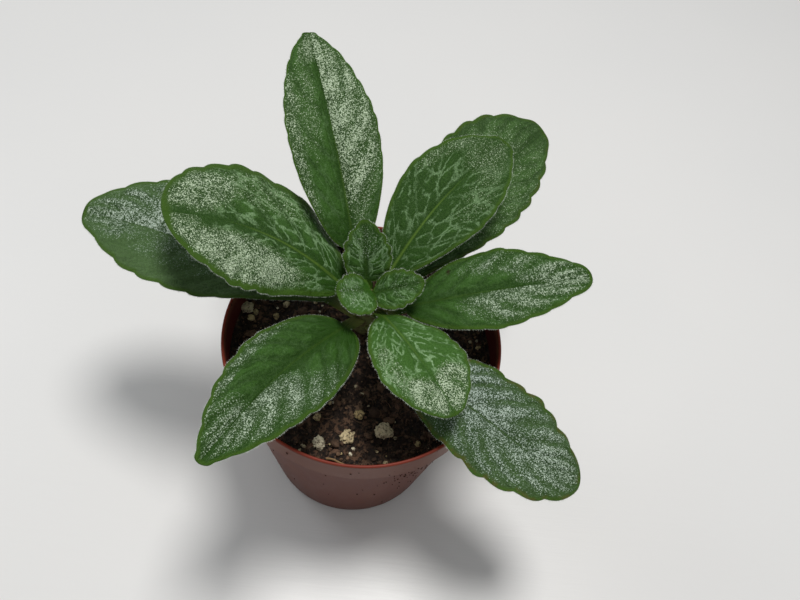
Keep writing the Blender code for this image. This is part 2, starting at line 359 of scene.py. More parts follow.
class LeafSettings(bpy.types.PropertyGroup):
    """The leaves."""

    green: colour_setting("Green", "Main green of the blades", (0.040, 0.112, 0.016))
    # Deep green also paints the shade in the valleys between the side veins
    deep_green: colour_setting(
        "Deep green", "Green in the hollows of the blades", (0.018, 0.056, 0.006))
    margin_green: colour_setting(
        "Margin green", "Plain green along the margins", (0.050, 0.112, 0.010))
    # Silver colours the brightest tops of the flecks, a painted glint
    silver: colour_setting("Silver", "Colour of the silver flecks", (0.55, 0.66, 0.48))
    vein: colour_setting("Vein", "Colour of the pale veins", (0.25, 0.40, 0.20))
    underside: colour_setting(
        "Underside", "Colour of the lower faces", (0.10, 0.19, 0.065))
    hair_colour: colour_setting(
        "Hair colour", "Colour of the short hairs", (0.62, 0.68, 0.60))
    blade: length_setting("Blade thickness", "Thickness of the blades", 0.0009, 0.0006)
    stalk: length_setting("Stalk thickness", "Thickness of the stalks", 0.0026, 0.001)
    hair: length_setting("Hair length", "Length of the margin hairs", 0.00055, 0.0001)
    rows: IntProperty(
        name="Rows", description="Rows of faces along a large leaf", default=190, min=20)
    columns: IntProperty(
        name="Columns", description="Rows of faces across a large leaf", default=44, min=6)


class StageSettings(bpy.types.PropertyGroup):
    """The floor and the lights."""

    floor_colour: colour_setting("Floor colour", "Colour of the floor", (0.80, 0.795, 0.785))
    key_power: FloatProperty(
        name="Key power", description="Power of the lamp overhead in watts",
        default=4.9, min=0.0)
    room_light: FloatProperty(
        name="Room light", description="Strength of the light from all round",
        default=0.34, min=0.0)


# Leaves

# How far the blades' edges stay inside their outlines, to leave room for the hairs, in mm
MARGIN_INSET = 0.1


@dataclass
class Leaf:
    """The measures of one leaf. Lengths are in mm and angles in degrees.

    root: height of its foot above the rim and distance from the stem's axis
    heading, bend, sway: compass way it leaves the stem, its turn and its side swing
    rise, end_rise: slope of the midrib at the foot and at the tip
    belly, blunt, stalk: where it is widest, how round its ends are, share of stalk
    fold, roll, cup, lean: how its halves lift, tip, curl and differ in width
    teeth, tooth, wave: margin teeth a side, their depth, margin waves
    foot: extra half width where the stalk widens into the blade
    veins, pleat: side veins a side and the height of the bulges between them
    net, rib: strength of the pale net of veins and of the pale midrib
    cool: how bluish the silver is
    tone, dull: how light and how greyish the green is
    streak: how far the silver keeps to the bulges, brown: browned teeth
    cap: half the share of the blade's length over which its tip is rounded off
    band: width of the plain green band along the margin
    streak: how far the silver keeps to the bulges, as painted highlights on them, brown:
    browned teeth
    spots: small brown spots as (along, across, radius in mm)
    patches: silver areas, partly painted sheen and highlights, as (along, across, half length,
    half width, strength), where along and across are shares and an across of 0 covers both
    halves
    """

    name: str
    root: tuple
    heading: float
    bend: float
    sway: float
    rise: float
    end_rise: float
    length: float
    half_width: float
    belly: float
    blunt: float
    stalk: float
    fold: float
    roll: float
    cup: float = -0.05
    lean: float = 0.0
    teeth: int = 9
    tooth: float = 0.5
    wave: float = 0.5
    foot: float = 1.8
    veins: int = 7
    pleat: float = 0.25
    net: float = 0.5
    rib: float = 0.5
    cool: float = 0.0
    tone: float = 0.5
    dull: float = 0.0
    streak: float = 0.4
    brown: float = 0.0
    cap: float = 0.03
    band: float = 0.8
    young: bool = False
    spots: tuple = ()
    patches: tuple = ()

    def __post_init__(self):
        self.seed = sum(ord(letter) for letter in self.name) % 97
        self.shares = np.linspace(0.0, 1.0, 601)
        self.line = self.midrib()

    def slope(self, s):
        """Slope of the midrib at a share s of the length."""
        return np.radians(self.rise + (self.end_rise - self.rise) * s)

    def way(self, s):
        """Compass way of the midrib at a share s of the length."""
        swing = self.sway * np.sin(2 * np.pi * s)
        return np.radians(self.heading + self.bend * s + swing)

    def along(self, s):
        """Unit vectors along the midrib."""
        flat = np.cos(self.slope(s))
        return np.stack([flat * np.cos(self.way(s)), flat * np.sin(self.way(s)),
                         np.sin(self.slope(s))], -1)

    def midrib(self):
        """Points along the midrib in mm."""
        height, reach = self.root
        start = np.array([STEM_X + reach * math.cos(self.way(0.0)),
                          STEM_Y + reach * math.sin(self.way(0.0)), POT_HEIGHT + height])
        middle = (self.shares[1:] + self.shares[:-1]) / 2
        steps = self.along(middle) * self.length / (len(self.shares) - 1)
        return start + np.vstack([np.zeros(3), np.cumsum(steps, 0)])

    def blade_share(self, s):
        """Share of the blade's length, 0 where the stalk ends."""
        return np.clip((s - self.stalk) / (1 - self.stalk), 0.0, 1.0)

    def half(self, s, side):
        """Half width in mm at a share s of the length on one side."""
        t = self.blade_share(s)
        # Near the tip the outline rounds off, however blunt the rest of it is
        rounding = soft_step(t, 1 - 2 * self.cap, 1.0)
        power = self.blunt + (min(self.blunt, 0.5) - self.blunt) * rounding
        body = np.maximum(np.sin(np.pi * t ** self.belly), 0.0) ** power
        width = self.half_width * body + self.foot * np.exp(-((6 * t) ** 2))
        width = width * (1 - self.lean * side)
        # Teeth grow in the outer part and fade out before the tip
        outer = np.clip((t - 0.25) / 0.3, 0.0, 1.0) * np.minimum(1.0, (1 - t) * 8)
        step = self.teeth * t + 0.19 * side
        lobe = np.sin(np.pi * (step - np.floor(step)) ** 1.6) ** 0.7
        return width + self.tooth * (lobe - 0.66) * outer

    def frame_at(self, s):
        """Unit vectors to the right of the midrib and up from the blade."""
        along = self.along(s)
        across = np.stack([np.sin(self.way(s)), -np.cos(self.way(s)),
                           np.zeros_like(s)], -1)
        normal = np.cross(across, along)
        tip = (math.radians(self.roll) * np.minimum(3 * s, 1.0))[:, None]
        right = across * np.cos(tip) + normal * np.sin(tip)
        up = normal * np.cos(tip) - across * np.sin(tip)
        return along, right, up

    def vein_phase(self, s, u):
        """Whole numbers lie on the side veins, which curve towards the tip."""
        t = self.blade_share(s)
        forward = t - 0.30 * np.abs(u) ** 1.25
        wobble = 0.10 * np.sin(9.0 * t + 5.0 * u + self.seed)
        return self.veins * forward + 0.35 * np.sign(u) + wobble + 3.0

    def bulge(self, s, u):
        """Height of the blade between its side veins, from 0 to 1."""
        phase = self.vein_phase(s, u)
        t = self.blade_share(s)
        away = np.abs(phase - np.floor(phase) - 0.5) * 2
        reach = soft_step(np.abs(u), 0.03, 0.25) * (1 - soft_step(np.abs(u), 0.75, 1.0))
        return (1 - away ** 2.2) * reach * soft_step(t, 0.03, 0.2) \
            * (1 - soft_step(t, 0.86, 1.0))

    def surface(self, s, u):
        """Points of the upper face in mm at shares s along and u across."""
        side = np.sign(u)
        along, right, up = self.frame_at(s)
        t = self.blade_share(s)
        inset = MARGIN_INSET * soft_step(t, 0.0, 0.1)
        width = np.maximum(self.half(s, side) - inset, 0.0)
        lift = math.radians(self.fold)
        # Waves of the margin, the groove over the midrib, the pleats and the turned edge
        swell = self.wave * u * u * np.sin(np.pi * t) \
            * np.sin(2 * np.pi * (3.4 * t + 0.3 * side) + self.heading)
        across = np.abs(u) * width
        groove = -0.30 * np.exp(-(across / 0.8) ** 2) * (1 - s) * soft_step(t, 0.0, 0.1)
        relief = self.pleat * (self.bulge(s, u) - 0.55) + groove
        relief = relief - 0.16 * np.exp(-(width - across) / 0.35) * soft_step(t, 0, 0.1)
        middle = np.stack([np.interp(s, self.shares, self.line[:, i])
                           for i in range(3)], -1)
        # The foot reaches back into the stem
        middle = middle - along * (1.6 * (1 - soft_step(s, 0.0, 0.03)))[:, None]
        out = right * (u * math.cos(lift) * width)[:, None]
        rise = up * ((np.abs(u) * math.sin(lift) + self.cup * u * u) * width
                     + swell + relief)[:, None]
        return middle + out + rise

    def silver(self, s, u):
        """Amount of silver, partly painted sheen and highlights, from 0 to 1; it thins in the
        valleys between the side veins and keeps to the lit bulges.
        """
        t = self.blade_share(s)
        bare = np.ones_like(s)
        for along, across, long_half, wide_half, strength in self.patches:
            reach = np.hypot((t - along) / long_half,
                             (np.abs(u) - abs(across)) / wide_half)
            on_side = 1.0 if across == 0 else (u * across > 0)
            bare = bare * (1 - strength * (1 - soft_step(reach, 0.55, 1.15)) * on_side)
        phase = self.vein_phase(s, u)
        away = np.abs(phase - np.floor(phase) - 0.5) * 2
        valley = away ** 1.6 * soft_step(np.abs(u), 0.05, 0.5)
        return (1 - bare) * (1 - self.streak * valley)

    def spotted(self, s, u, width):
        """How brown a small spot makes the blade, from 0 to 1."""
        found = np.zeros_like(s)
        for along, across, radius in self.spots:
            away = np.hypot((s - along) * self.length, (u - across) * width)
            found = np.maximum(found, 1 - soft_step(away, 0.3 * radius, radius))
        return found


LEAVES = (
    Leaf("leaf_back", root=(4.5, 4.4), heading=113, bend=-3, sway=-1, rise=53,
         end_rise=15.5, length=88, half_width=16, belly=0.97, blunt=0.66, stalk=0.19,
         fold=21, roll=-6.5, lean=0.08, teeth=12, tooth=0.45, wave=0.4,
         veins=6, pleat=0.42, net=0.2, rib=0.3, tone=0.5, streak=0.55, cap=0.015,
         band=0.4,
         patches=((0.60, 0.38, 0.52, 0.70, 0.97), (0.48, -0.92, 0.36, 0.24, 0.7),
                  (0.68, -0.52, 0.32, 0.36, 0.42), (0.92, -0.35, 0.10, 0.5, 0.6))),
    Leaf("leaf_upper_right", root=(8, 4.3), heading=55, bend=-6.5, sway=2.5, rise=46,
         end_rise=5.5, length=67, half_width=16, belly=1.13, blunt=0.65, stalk=0.13,
         fold=11, roll=-5.5, lean=-0.03, tooth=0.4, wave=0.4,
         veins=5, pleat=0.32, net=0.75, rib=0.9, tone=-0.4, streak=0.4,
         patches=((0.86, 0.0, 0.16, 0.9, 0.4), (0.62, 0.55, 0.22, 0.38, 0.22),
                  (0.72, -0.80, 0.22, 0.20, 0.45))),
    Leaf("leaf_upper_right_low", root=(1.5, 4.4), heading=56.5, bend=-11.5, sway=-6.5,
         rise=31, end_rise=-1.5, length=88.5, half_width=18.5, belly=1.4, blunt=0.64,
         stalk=0.05, fold=11.5, roll=-23, lean=0.17, teeth=11, tooth=1.0, wave=0.5,
         veins=8, pleat=0.45, net=0.35, rib=0.35, tone=0.45, dull=0.15, streak=0.5,
         brown=0.4,
         patches=((0.62, 0.45, 0.40, 0.6, 0.3), (0.7, -0.4, 0.3, 0.6, 0.25))),
    # Its silver patches and streaks also paint the highlights of its glossy blade
    Leaf("leaf_right", root=(4, 4.4), heading=-2, bend=14, sway=0.5, rise=35.5,
         end_rise=7, length=68.5, half_width=14, belly=0.94, blunt=0.75, stalk=0.14,
         fold=12, roll=-5, lean=-0.03, tooth=0.5, wave=0.6,
         veins=6, pleat=0.75, net=0.1, rib=0.2, cool=0.25, tone=0.45, streak=0.92, cap=0.085,
         spots=((0.36, -0.74, 0.9),),
         patches=((0.62, 0.40, 0.34, 0.55, 0.8), (0.88, 0.0, 0.14, 0.95, 0.75),
                  (0.60, -0.62, 0.32, 0.32, 0.6), (0.74, -0.3, 0.18, 0.3, 0.65))),
    Leaf("leaf_lower_right", root=(1.5, 4.4), heading=-61, bend=55.5, sway=10.5, rise=13,
         end_rise=-17, length=83, half_width=16, belly=1.23, blunt=0.52, stalk=0.16,
         fold=9, roll=-4.5, cup=-0.06, lean=-0.02, tooth=1.1, wave=1.0,
         veins=8, pleat=0.90, net=0.10, rib=0.1, cool=0.8, tone=0.45, dull=0.35, streak=0.9,
         brown=1.0,
         patches=((0.34, -0.38, 0.34, 0.62, 0.95), (0.68, -0.38, 0.32, 0.6, 0.65),
                  (0.57, 0.42, 0.42, 0.58, 0.75), (0.86, 0.0, 0.16, 0.95, 0.7))),
    Leaf("leaf_front", root=(9.8, 4.0), heading=-54.5, bend=-2, sway=-2.5, rise=41,
         end_rise=-19, length=49, half_width=15, belly=1.3, blunt=0.61, stalk=0.15,
         fold=13, roll=12.5, lean=-0.13, tooth=0.5, wave=0.4, foot=1.6,
         veins=5, pleat=0.32, net=1.5, rib=0.6, tone=0.95, streak=0.45,
         patches=((0.82, 0.45, 0.18, 0.55, 1.0), (0.82, -0.4, 0.19, 0.58, 1.0),
                  (0.55, 0.7, 0.26, 0.25, 0.5))),
    Leaf("leaf_lower_left", root=(4.5, 4.3), heading=-123, bend=6.5, sway=-2.5, rise=29,
         end_rise=6.5, length=75.5, half_width=15, belly=0.86, blunt=0.68, stalk=0.1,
         fold=14, roll=5, cup=-0.06, lean=0.11, tooth=0.6, wave=0.5,
         veins=7, pleat=0.85, net=0.10, rib=0.2, cool=0.35, tone=0.2, streak=0.92, cap=0.02,
         patches=((0.60, 0.86, 0.36, 0.22, 0.7), (0.84, 0.2, 0.18, 0.6, 0.6),
                  (0.68, -0.42, 0.30, 0.52, 0.8), (0.42, -0.75, 0.2, 0.28, 0.5))),
    Leaf("leaf_upper_left", root=(8.5, 4.2), heading=162, bend=41, sway=-2, rise=45.5,
         end_rise=22, length=68, half_width=21.5, belly=1.4, blunt=0.49, stalk=0.08,
         fold=3.5, roll=3, cup=-0.07, lean=-0.02, teeth=10, tooth=0.9, wave=0.7,
         veins=6, pleat=0.38, net=0.9, rib=0.8, tone=0.3, streak=0.2, band=1.5,
         patches=((0.82, 0.5, 0.18, 0.45, 0.78), (0.55, 0.62, 0.26, 0.3, 0.35),
                  (0.62, -0.58, 0.38, 0.46, 0.97), (0.33, -0.62, 0.16, 0.3, 0.4),
                  (0.90, -0.35, 0.10, 0.45, 0.55))),
    Leaf("leaf_left_low", root=(1.5, 4.4), heading=166, bend=16, sway=5.5, rise=26,
         end_rise=6, length=88.5, half_width=19, belly=1.43, blunt=0.64, stalk=0.11,
         fold=12.5, roll=3, lean=0.01, teeth=10, tooth=0.9, wave=0.7, foot=2.0,
         veins=8, pleat=0.80, net=0.12, rib=0.1, cool=0.8, tone=0.85, dull=0.55, streak=0.85,
         patches=((0.70, 0.35, 0.34, 0.6, 0.95), (0.62, -0.30, 0.36, 0.4, 0.4),
                  (0.92, 0.0, 0.12, 0.9, 0.5))),
    Leaf("leaf_young_back", root=(10.5, 3.9), heading=101, bend=3.5, sway=2, rise=66,
         end_rise=37.5, length=22.7, half_width=8.2, belly=0.85, blunt=0.66, stalk=0.13,
         fold=22.5, roll=5.5, cup=0.06, lean=-0.07, teeth=6, tooth=1.0, wave=0.3, foot=1.6,
         veins=4, pleat=0.24, net=0.9, rib=0.1, cool=0.4, tone=0.15, streak=0.2,
         young=True, patches=((0.7, 0.0, 0.4, 0.9, 0.2),)),
    Leaf("leaf_young_left", root=(16.2, 0.7), heading=206, bend=-7, sway=4, rise=23.5,
         end_rise=-0.5, length=10.1, half_width=7.9, belly=0.82, blunt=0.44, stalk=0.0,
         fold=17, roll=10, cup=0.08, lean=0.31, teeth=5, tooth=0.55, wave=0.2, foot=1.4,
         veins=3, pleat=0.16, net=0.8, rib=0.1, cool=0.4, tone=0.75, streak=0.2,
         young=True, patches=((0.6, 0.0, 0.5, 0.9, 0.3),)),
    Leaf("leaf_young_right", root=(14.4, 1.7), heading=-2, bend=10.5, sway=-1, rise=35,
         end_rise=19.5, length=17, half_width=6.6, belly=0.85, blunt=0.53, stalk=0.02,
         fold=11.5, roll=-17.5, cup=0.04, lean=-0.13, teeth=6, tooth=0.7, wave=0.2, foot=1.0,
         veins=4, pleat=0.20, net=0.8, rib=0.1, cool=0.3, tone=0.3, streak=0.2,
         young=True, patches=((0.65, 0.0, 0.4, 0.9, 0.15),)),
)

class BladePattern:
    """The places, noises and mesh numbers that the colours of a blade share."""

    def __init__(self, paint):
        uv = paint.node("ShaderNodeUVMap", {"uv_map": "blade"}, {})
        seed = paint.attribute("seed")
        shift = paint.node("ShaderNodeCombineXYZ", {}, {0: seed * 3.7, 1: seed * 1.3, 2: seed})
        self.place = paint.vector(
            "ADD", paint.vector("MULTIPLY", uv, (100.0, 100.0, 0.0)), shift)
        self.across = abs(paint.part(uv, 0) * 100.0 - 50.0)
        self.along = paint.attribute("along")
        self.border = paint.attribute("border")
        self.cool = paint.attribute("cool")
        self.phase = paint.attribute("vein")
        self.broad = paint.noise(self.place, 0.16, 2.0)
        self.middle = paint.noise(self.place, 0.7, 3.0, 0.6)
        self.fine = paint.noise(self.place, 2.3, 2.0, 0.62)
        self.grain = paint.noise(self.place, 4.6, 1.0, 0.6)
        self.speck = self.fine + 0.5 * (self.grain - 0.5)
        flow = paint.node("ShaderNodeCombineXYZ", {},
                          {0: self.phase * 1.8, 1: self.across * 0.30, 2: seed})
        bend = paint.node("ShaderNodeTexNoise", {},
                          {"Vector": self.place, "Scale": 0.9, "Detail": 2.0,
                           "Roughness": 0.6}, 1)
        bent = paint.vector("ADD", flow, paint.vector("MULTIPLY", bend, (0.45, 0.45, 0.0)))
        self.mesh = paint.cells(bent, 1.0, "DISTANCE_TO_EDGE")
        self.streaks = paint.noise(paint.vector("MULTIPLY", flow, (2.4, 1.0, 1.0)), 1.0, 2.0)


def pale_veins(paint, blade):
    """The side veins and a net of small ones that follows them, from 0 to 1."""
    side = 0.5 - abs((blade.phase + 0.4 * (blade.middle - 0.5)).fract() - 0.5)
    broken = paint.smooth(blade.broad + 0.7 * (blade.middle - 0.5), 0.36, 0.58)
    side_line = (1 - paint.smooth(side, 0.0, 0.07)) * (0.35 + 0.5 * broken)
    mesh_line = (1 - paint.smooth(blade.mesh, 0.02, 0.12)) * broken
    beads = paint.smooth(blade.speck, 0.38, 0.60)
    return side_line.most(mesh_line) * (0.4 + 0.6 * beads) * paint.attribute("net") \
        * paint.smooth(blade.across, 0.5, 1.5) * paint.smooth(blade.border, 0.8, 2.0)


def silver_grains(paint, blade):
    """The silver's wash, its dark pits, its grains and the painted glints on their tops, each
    from 0 to 1.
    """
    middle = blade.middle - 0.5
    cloudy = 0.68 + 0.5 * paint.smooth(
        0.6 * blade.broad + 0.5 * blade.streaks + 0.6 * middle, 0.38, 0.66)
    patchy = paint.attribute("silver") * cloudy \
        * paint.smooth(blade.border + 1.6 * middle, 0.7, 1.6)
    limit = 0.70 - 0.25 * patchy
    flecks = paint.smooth(blade.speck - limit, -0.04, 0.04) * paint.smooth(patchy, 0.03, 0.18)
    shine = paint.smooth(blade.speck - limit, 0.02, 0.14)
    pits = paint.smooth(limit - blade.speck, -0.02, 0.10) * paint.smooth(patchy, 0.3, 0.8)
    return paint.smooth(patchy, 0.05, 0.9), pits, flecks, shine


def plain_green(paint, look, blade):
    """The green under the silver: its clouds, painted shade in the valleys between the side
    veins, the foot, the frosty grain and the margin.
    """
    tone = paint.attribute("tone")
    # Painted shade: the bulge leaves the valleys between the side veins deep green and the
    # bulges lighter
    light = paint.smooth(
        blade.broad * 0.35 + blade.middle * 0.4 + blade.streaks * 0.25 + 0.25 * (tone - 0.5)
        + 0.24 * (paint.attribute("bulge") - 0.5), 0.36, 0.64)
    green = paint.mix(light, look.deep_green, look.green)
    green = paint.mix(paint.smooth(tone, 0.35, 0.95) * 0.5, green, (0.055, 0.150, 0.024))
    foot = 1 - paint.smooth(blade.along, 0.05, 0.45)
    green = paint.mix(foot * 0.7, green, (0.022, 0.078, 0.004))
    green = paint.mix(paint.attribute("dull"), green, (0.095, 0.135, 0.072))
    frost = paint.smooth(blade.speck, 0.44, 0.66) * (0.32 - 0.26 * foot)
    green = paint.mix(frost, green, (0.095, 0.195, 0.050))
    green = paint.mix(paint.smooth(0.46 - blade.speck, 0.0, 0.16) * 0.45, green,
                      look.deep_green)
    edge = 1 - paint.smooth(blade.border + 0.9 * (blade.middle - 0.5), 0.6, 2.2)
    return paint.mix(edge * 0.8, green, look.margin_green)


def leaf_face_material(look):
    """The upper face: greens with painted shade in the valleys, pale veins, silver flecks with
    painted glints and a plain margin.
    """
    paint = Paint("leaf upper face")
    blade = BladePattern(paint)
    cool = blade.cool
    wash, pits, flecks, shine = silver_grains(paint, blade)
    colour = plain_green(paint, look, blade)
    colour = paint.mix(wash * (0.45 + 0.3 * cool), colour,
                       paint.mix(cool, (0.080, 0.130, 0.050), (0.080, 0.112, 0.080)))
    colour = paint.mix(pale_veins(paint, blade) * 0.9, colour, look.vein)
    # The flecks are pale, and their brightest tops take a painted glint colour
    pale = paint.mix(cool, (0.125, 0.205, 0.080), (0.140, 0.195, 0.150))
    bright = paint.mix(cool, look.silver, (0.50, 0.60, 0.58))
    colour = paint.mix(pits * 0.8, colour, (0.012, 0.040, 0.008))
    colour = paint.mix(flecks, colour, paint.mix(shine, pale, bright))

    rib_width = 0.70 - 0.70 * blade.along
    rib = (1 - paint.smooth(blade.across - rib_width, -0.45, 0.20)) \
        * (1 - paint.smooth(blade.along, 0.50, 0.78)) * paint.attribute("rib")
    colour = paint.mix(rib * 0.75, colour, (0.13, 0.23, 0.035))
    stalk = 1 - paint.smooth(blade.along, 0.02, 0.11)
    colour = paint.mix(stalk * 0.85, colour, (0.24, 0.27, 0.075))
    brown = paint.attribute("brown") \
        * (1 - paint.smooth(paint.attribute("margin"), 0.2, 2.0)) \
        * paint.smooth(paint.noise(blade.place, 0.45, 1.0), 0.45, 0.6)
    colour = paint.mix(brown * 0.5, colour, (0.115, 0.080, 0.024))
    colour = paint.mix(paint.attribute("spot") * 0.9, colour, (0.030, 0.012, 0.008))

    areoles = paint.smooth(blade.mesh, 0.0, 0.30)
    height = blade.fine * 0.8 + blade.grain * 0.35 + blade.middle * 0.5 + areoles * 0.5
    return paint.finish(
        Base_Color=colour,
        Roughness=0.30 - 0.04 * flecks + 0.12 * blade.grain,
        Specular_IOR_Level=0.14,
        Normal=paint.bump(height, 0.00040, 1.0))


def leaf_underside_material(look):
    """The lower face: paler, with raised veins."""
    paint = Paint("leaf underside")
    uv = paint.node("ShaderNodeUVMap", {"uv_map": "blade"}, {})
    place = paint.vector("MULTIPLY", uv, (100.0, 100.0, 0.0))
    phase = paint.attribute("vein")
    side = 0.5 - abs(phase.fract() - 0.5)
    line = 1 - paint.smooth(side, 0.01, 0.07)
    cloud = paint.noise(place, 0.3, 3.0)
    grain = paint.noise(place, 2.5, 2.0)
    colour = paint.mix(cloud, look.underside, (0.075, 0.150, 0.045))
    colour = paint.mix(line * 0.5, colour, (0.17, 0.25, 0.11))
    stalk = 1 - paint.smooth(paint.attribute("along"), 0.03, 0.2)
    colour = paint.mix(stalk * 0.8, colour, (0.21, 0.21, 0.070))
    return paint.finish(Base_Color=colour, Roughness=0.62, Sheen_Weight=0.25,
                        Normal=paint.bump(grain * 0.5 + line, 0.00015, 0.7))


def hair_material(look):
    """The short pale hairs."""
    paint = Paint("leaf hair")
    place = paint.object_place()
    cloud = paint.noise(place, 300.0, 1.0)
    fringe = paint.mix(cloud, look.hair_colour, (0.50, 0.57, 0.47))
    return paint.finish(
        Base_Color=paint.mix(paint.attribute("fringe"), (0.13, 0.23, 0.09), fringe),
        Roughness=0.45)


# The group is always named by this text, because applying a modifier ends a handle to it
THICKNESS_GROUP = "thickness"


def build_blade(leaf, look, materials):
    """One leaf as a closed shell."""
    rows = look.rows if not leaf.young else look.rows // 2
    columns = look.columns if not leaf.young else (look.columns * 2 // 3) // 2 * 2
    bpy.ops.mesh.primitive_grid_add(x_subdivisions=rows, y_subdivisions=columns, size=1.0)
    obj = bpy.context.object
    obj.name = leaf.name + "_blade"
    mesh = obj.data
    flat = read_points(mesh)
    share = flat[:, 0] + 0.5
    column = -2 * flat[:, 1]
    # Rows crowd towards the tip, and columns towards the midrib and the margins
    s = 1 - (1 - share) ** 1.35
    u = np.sign(column) * (np.abs(column)
                           - 0.45 * np.sin(2 * np.pi * np.abs(column)) / (2 * np.pi))
    u[np.abs(u) < 0.0001] = 0.0
    t = leaf.blade_share(s)
    points = leaf.surface(s, u)
    width = leaf.half(s, np.sign(u))
    across = u * width

    layer = mesh.uv_layers[0]
    layer.name = "blade"
    corners = np.empty(len(mesh.loops), dtype=np.int64)
    mesh.loops.foreach_get("vertex_index", corners)
    uv = np.stack([across / 100 + 0.5, s * leaf.length / 100], -1)[corners]
    layer.data.foreach_set("uv", uv.astype(np.float32).ravel())

    tip_gap = (1 - t) * leaf.length * 0.8
    margin = np.minimum((1 - np.abs(u)) * width, tip_gap)
    net = leaf.net * soft_step(t, 0.02, 0.15) * (1 - 0.85 * soft_step(t, 0.6, 0.9))
    # The silver amount carries painted sheen and highlights as well as silver, and the bulge
    # paints shade into the valleys
    silver = leaf.silver(s, u)
    for name, values in (
            ("margin", margin), ("border", margin / leaf.band),
            ("along", 0.15 + 0.85 * s if leaf.young else s),
            ("silver", silver), ("net", net), ("bulge", leaf.bulge(s, u)),
            ("vein", leaf.vein_phase(s, u)), ("spot", leaf.spotted(s, u, width)),
            ("seed", leaf.seed), ("tone", leaf.tone), ("dull", leaf.dull * (1 - silver)),
            ("cool", leaf.cool * (1.3 - 0.8 * s)),
            ("brown", leaf.brown), ("rib", leaf.rib)):
        add_attribute(mesh, name, values)
    write_points(mesh, points * MM)

    # Full thickness at the stalk, a keel under the midrib and a thin margin
    stalk = np.exp(-((s / 0.13) ** 2)) * (1 - 0.75 * u * u)
    keel = 0.34 * (1 - s) * np.exp(-((across / 1.3) ** 2))
    thin = look.blade / look.stalk
    weight = thin + (1 - thin) * np.maximum(stalk, keel)
    rim = 1 - 0.62 * np.exp(-margin / 0.5) * soft_step(t, 0.0, 0.12)
    group = obj.vertex_groups.new(name=THICKNESS_GROUP)
    for index, value in enumerate(np.minimum(weight * rim, 1.0)):
        group.add([index], float(value), "REPLACE")
    weld = obj.modifiers.new("Tip", "WELD")
    weld.merge_threshold = 0.00001
    apply_modifier(obj, weld)
    solid = obj.modifiers.new("Thickness", "SOLIDIFY")
    solid.thickness = look.stalk
    solid.offset = -1.0
    solid.vertex_group = THICKNESS_GROUP
    solid.use_even_offset = False
    solid.material_offset = 1
    for made in materials:
        mesh.materials.append(made)
    apply_modifier(obj, solid)
    smooth_by_angle(obj, 55)
    settle(obj, "young_leaf" if leaf.young else "leaf", leaf.name)
    return obj


# Hairs on a large leaf and on a young one, per mm of margin and per square mm of face, and
# their radii at the foot in mm
FRINGE_HAIRS = (8.0, 11.0)
FACE_HAIRS = (1.5, 3.2)
FRINGE_RADIUS = 0.040
FACE_RADIUS = 0.021


def unit(vectors):
    """Vectors brought to a length of 1."""
    return vectors / np.maximum(np.linalg.norm(vectors, axis=1), 1e-6)[:, None]


def fringe_hairs(leaf, look, rng):
    """Starts, directions and lengths of the hairs along the margin, in mm."""
    count = int(leaf.length * FRINGE_HAIRS[leaf.young])
    s = np.concatenate([1 - rng.random(count) ** 1.15 for _ in range(2)])
    side = np.repeat([-1.0, 1.0], count)
    s = np.clip(s, leaf.stalk * 0.7 + 0.02, 0.9995)
    up = leaf.frame_at(s)[2]
    edge = leaf.surface(s, side)
    run = unit(leaf.surface(np.minimum(s + 0.002, 1.0), side) - edge)
    outward = unit(np.cross(run, up) * side[:, None])
    direction = outward + run * rng.normal(0.35, 0.3, (len(s), 1)) \
        + up * rng.normal(0.15, 0.35, (len(s), 1))
    length = look.hair / MM * rng.uniform(0.6, 1.15, len(s))
    return edge - up * 0.15 - outward * 0.05, direction, length


def face_hairs(leaf, look, rng):
    """Starts, directions and lengths of the short hairs of the upper face, in mm."""
    count = int(leaf.length * leaf.half_width * 1.4 * FACE_HAIRS[leaf.young])
    s = rng.random(count * 2)
    side = rng.choice([-1.0, 1.0], count * 2)
    keep = rng.random(count * 2) * leaf.half_width < leaf.half(s, side)
    s = s[keep][:count]
    side = side[keep][:count]
    u = side * (0.02 + 0.96 * rng.random(len(s)))
    along, right, up = leaf.frame_at(s)
    direction = up + right * (side * rng.uniform(0.2, 1.1, len(s)))[:, None] \
        + along * rng.uniform(0.1, 0.9, (len(s), 1))
    length = look.hair / MM * rng.uniform(0.55, 0.95, len(s))
    return leaf.surface(s, u) - up * 0.05, direction, length


def build_hairs(leaf, look, material):
    """The fringe and the face hairs of one leaf, each a thin closed spike."""
    rng = np.random.default_rng(leaf.seed)
    margin = fringe_hairs(leaf, look, rng)
    face = face_hairs(leaf, look, rng)
    start, direction, length = (np.concatenate(pair) for pair in zip(margin, face))
    fringe = np.arange(len(start)) < len(margin[0])
    radius = np.where(fringe, FRINGE_RADIUS, FACE_RADIUS)[:, None]
    direction = unit(direction)
    aside = unit(np.cross(direction, rng.normal(size=direction.shape)))
    other = np.cross(direction, aside)
    ring = [start + (aside * math.cos(a) + other * math.sin(a)) * radius
            for a in (0.0, 2.094, 4.189)]
    low, high = (np.array(corner) / MM for corner in CAD_BOX)
    tip = np.clip(start + direction * length[:, None], low, high)
    points = np.stack([*ring, tip], 1).reshape(-1, 3)
    first = np.arange(len(start))[:, None] * 4
    faces = np.concatenate([first + corner for corner in
                            ([0, 2, 1], [0, 1, 3], [1, 2, 3], [2, 0, 3])], 0)
    obj = mesh_object(leaf.name + "_hairs", points, faces.tolist())
    add_attribute(obj.data, "fringe", np.repeat(fringe, 4))
    obj.data.materials.append(material)
    settle(obj, "young_leaf" if leaf.young else "leaf")
    return obj


# Soil

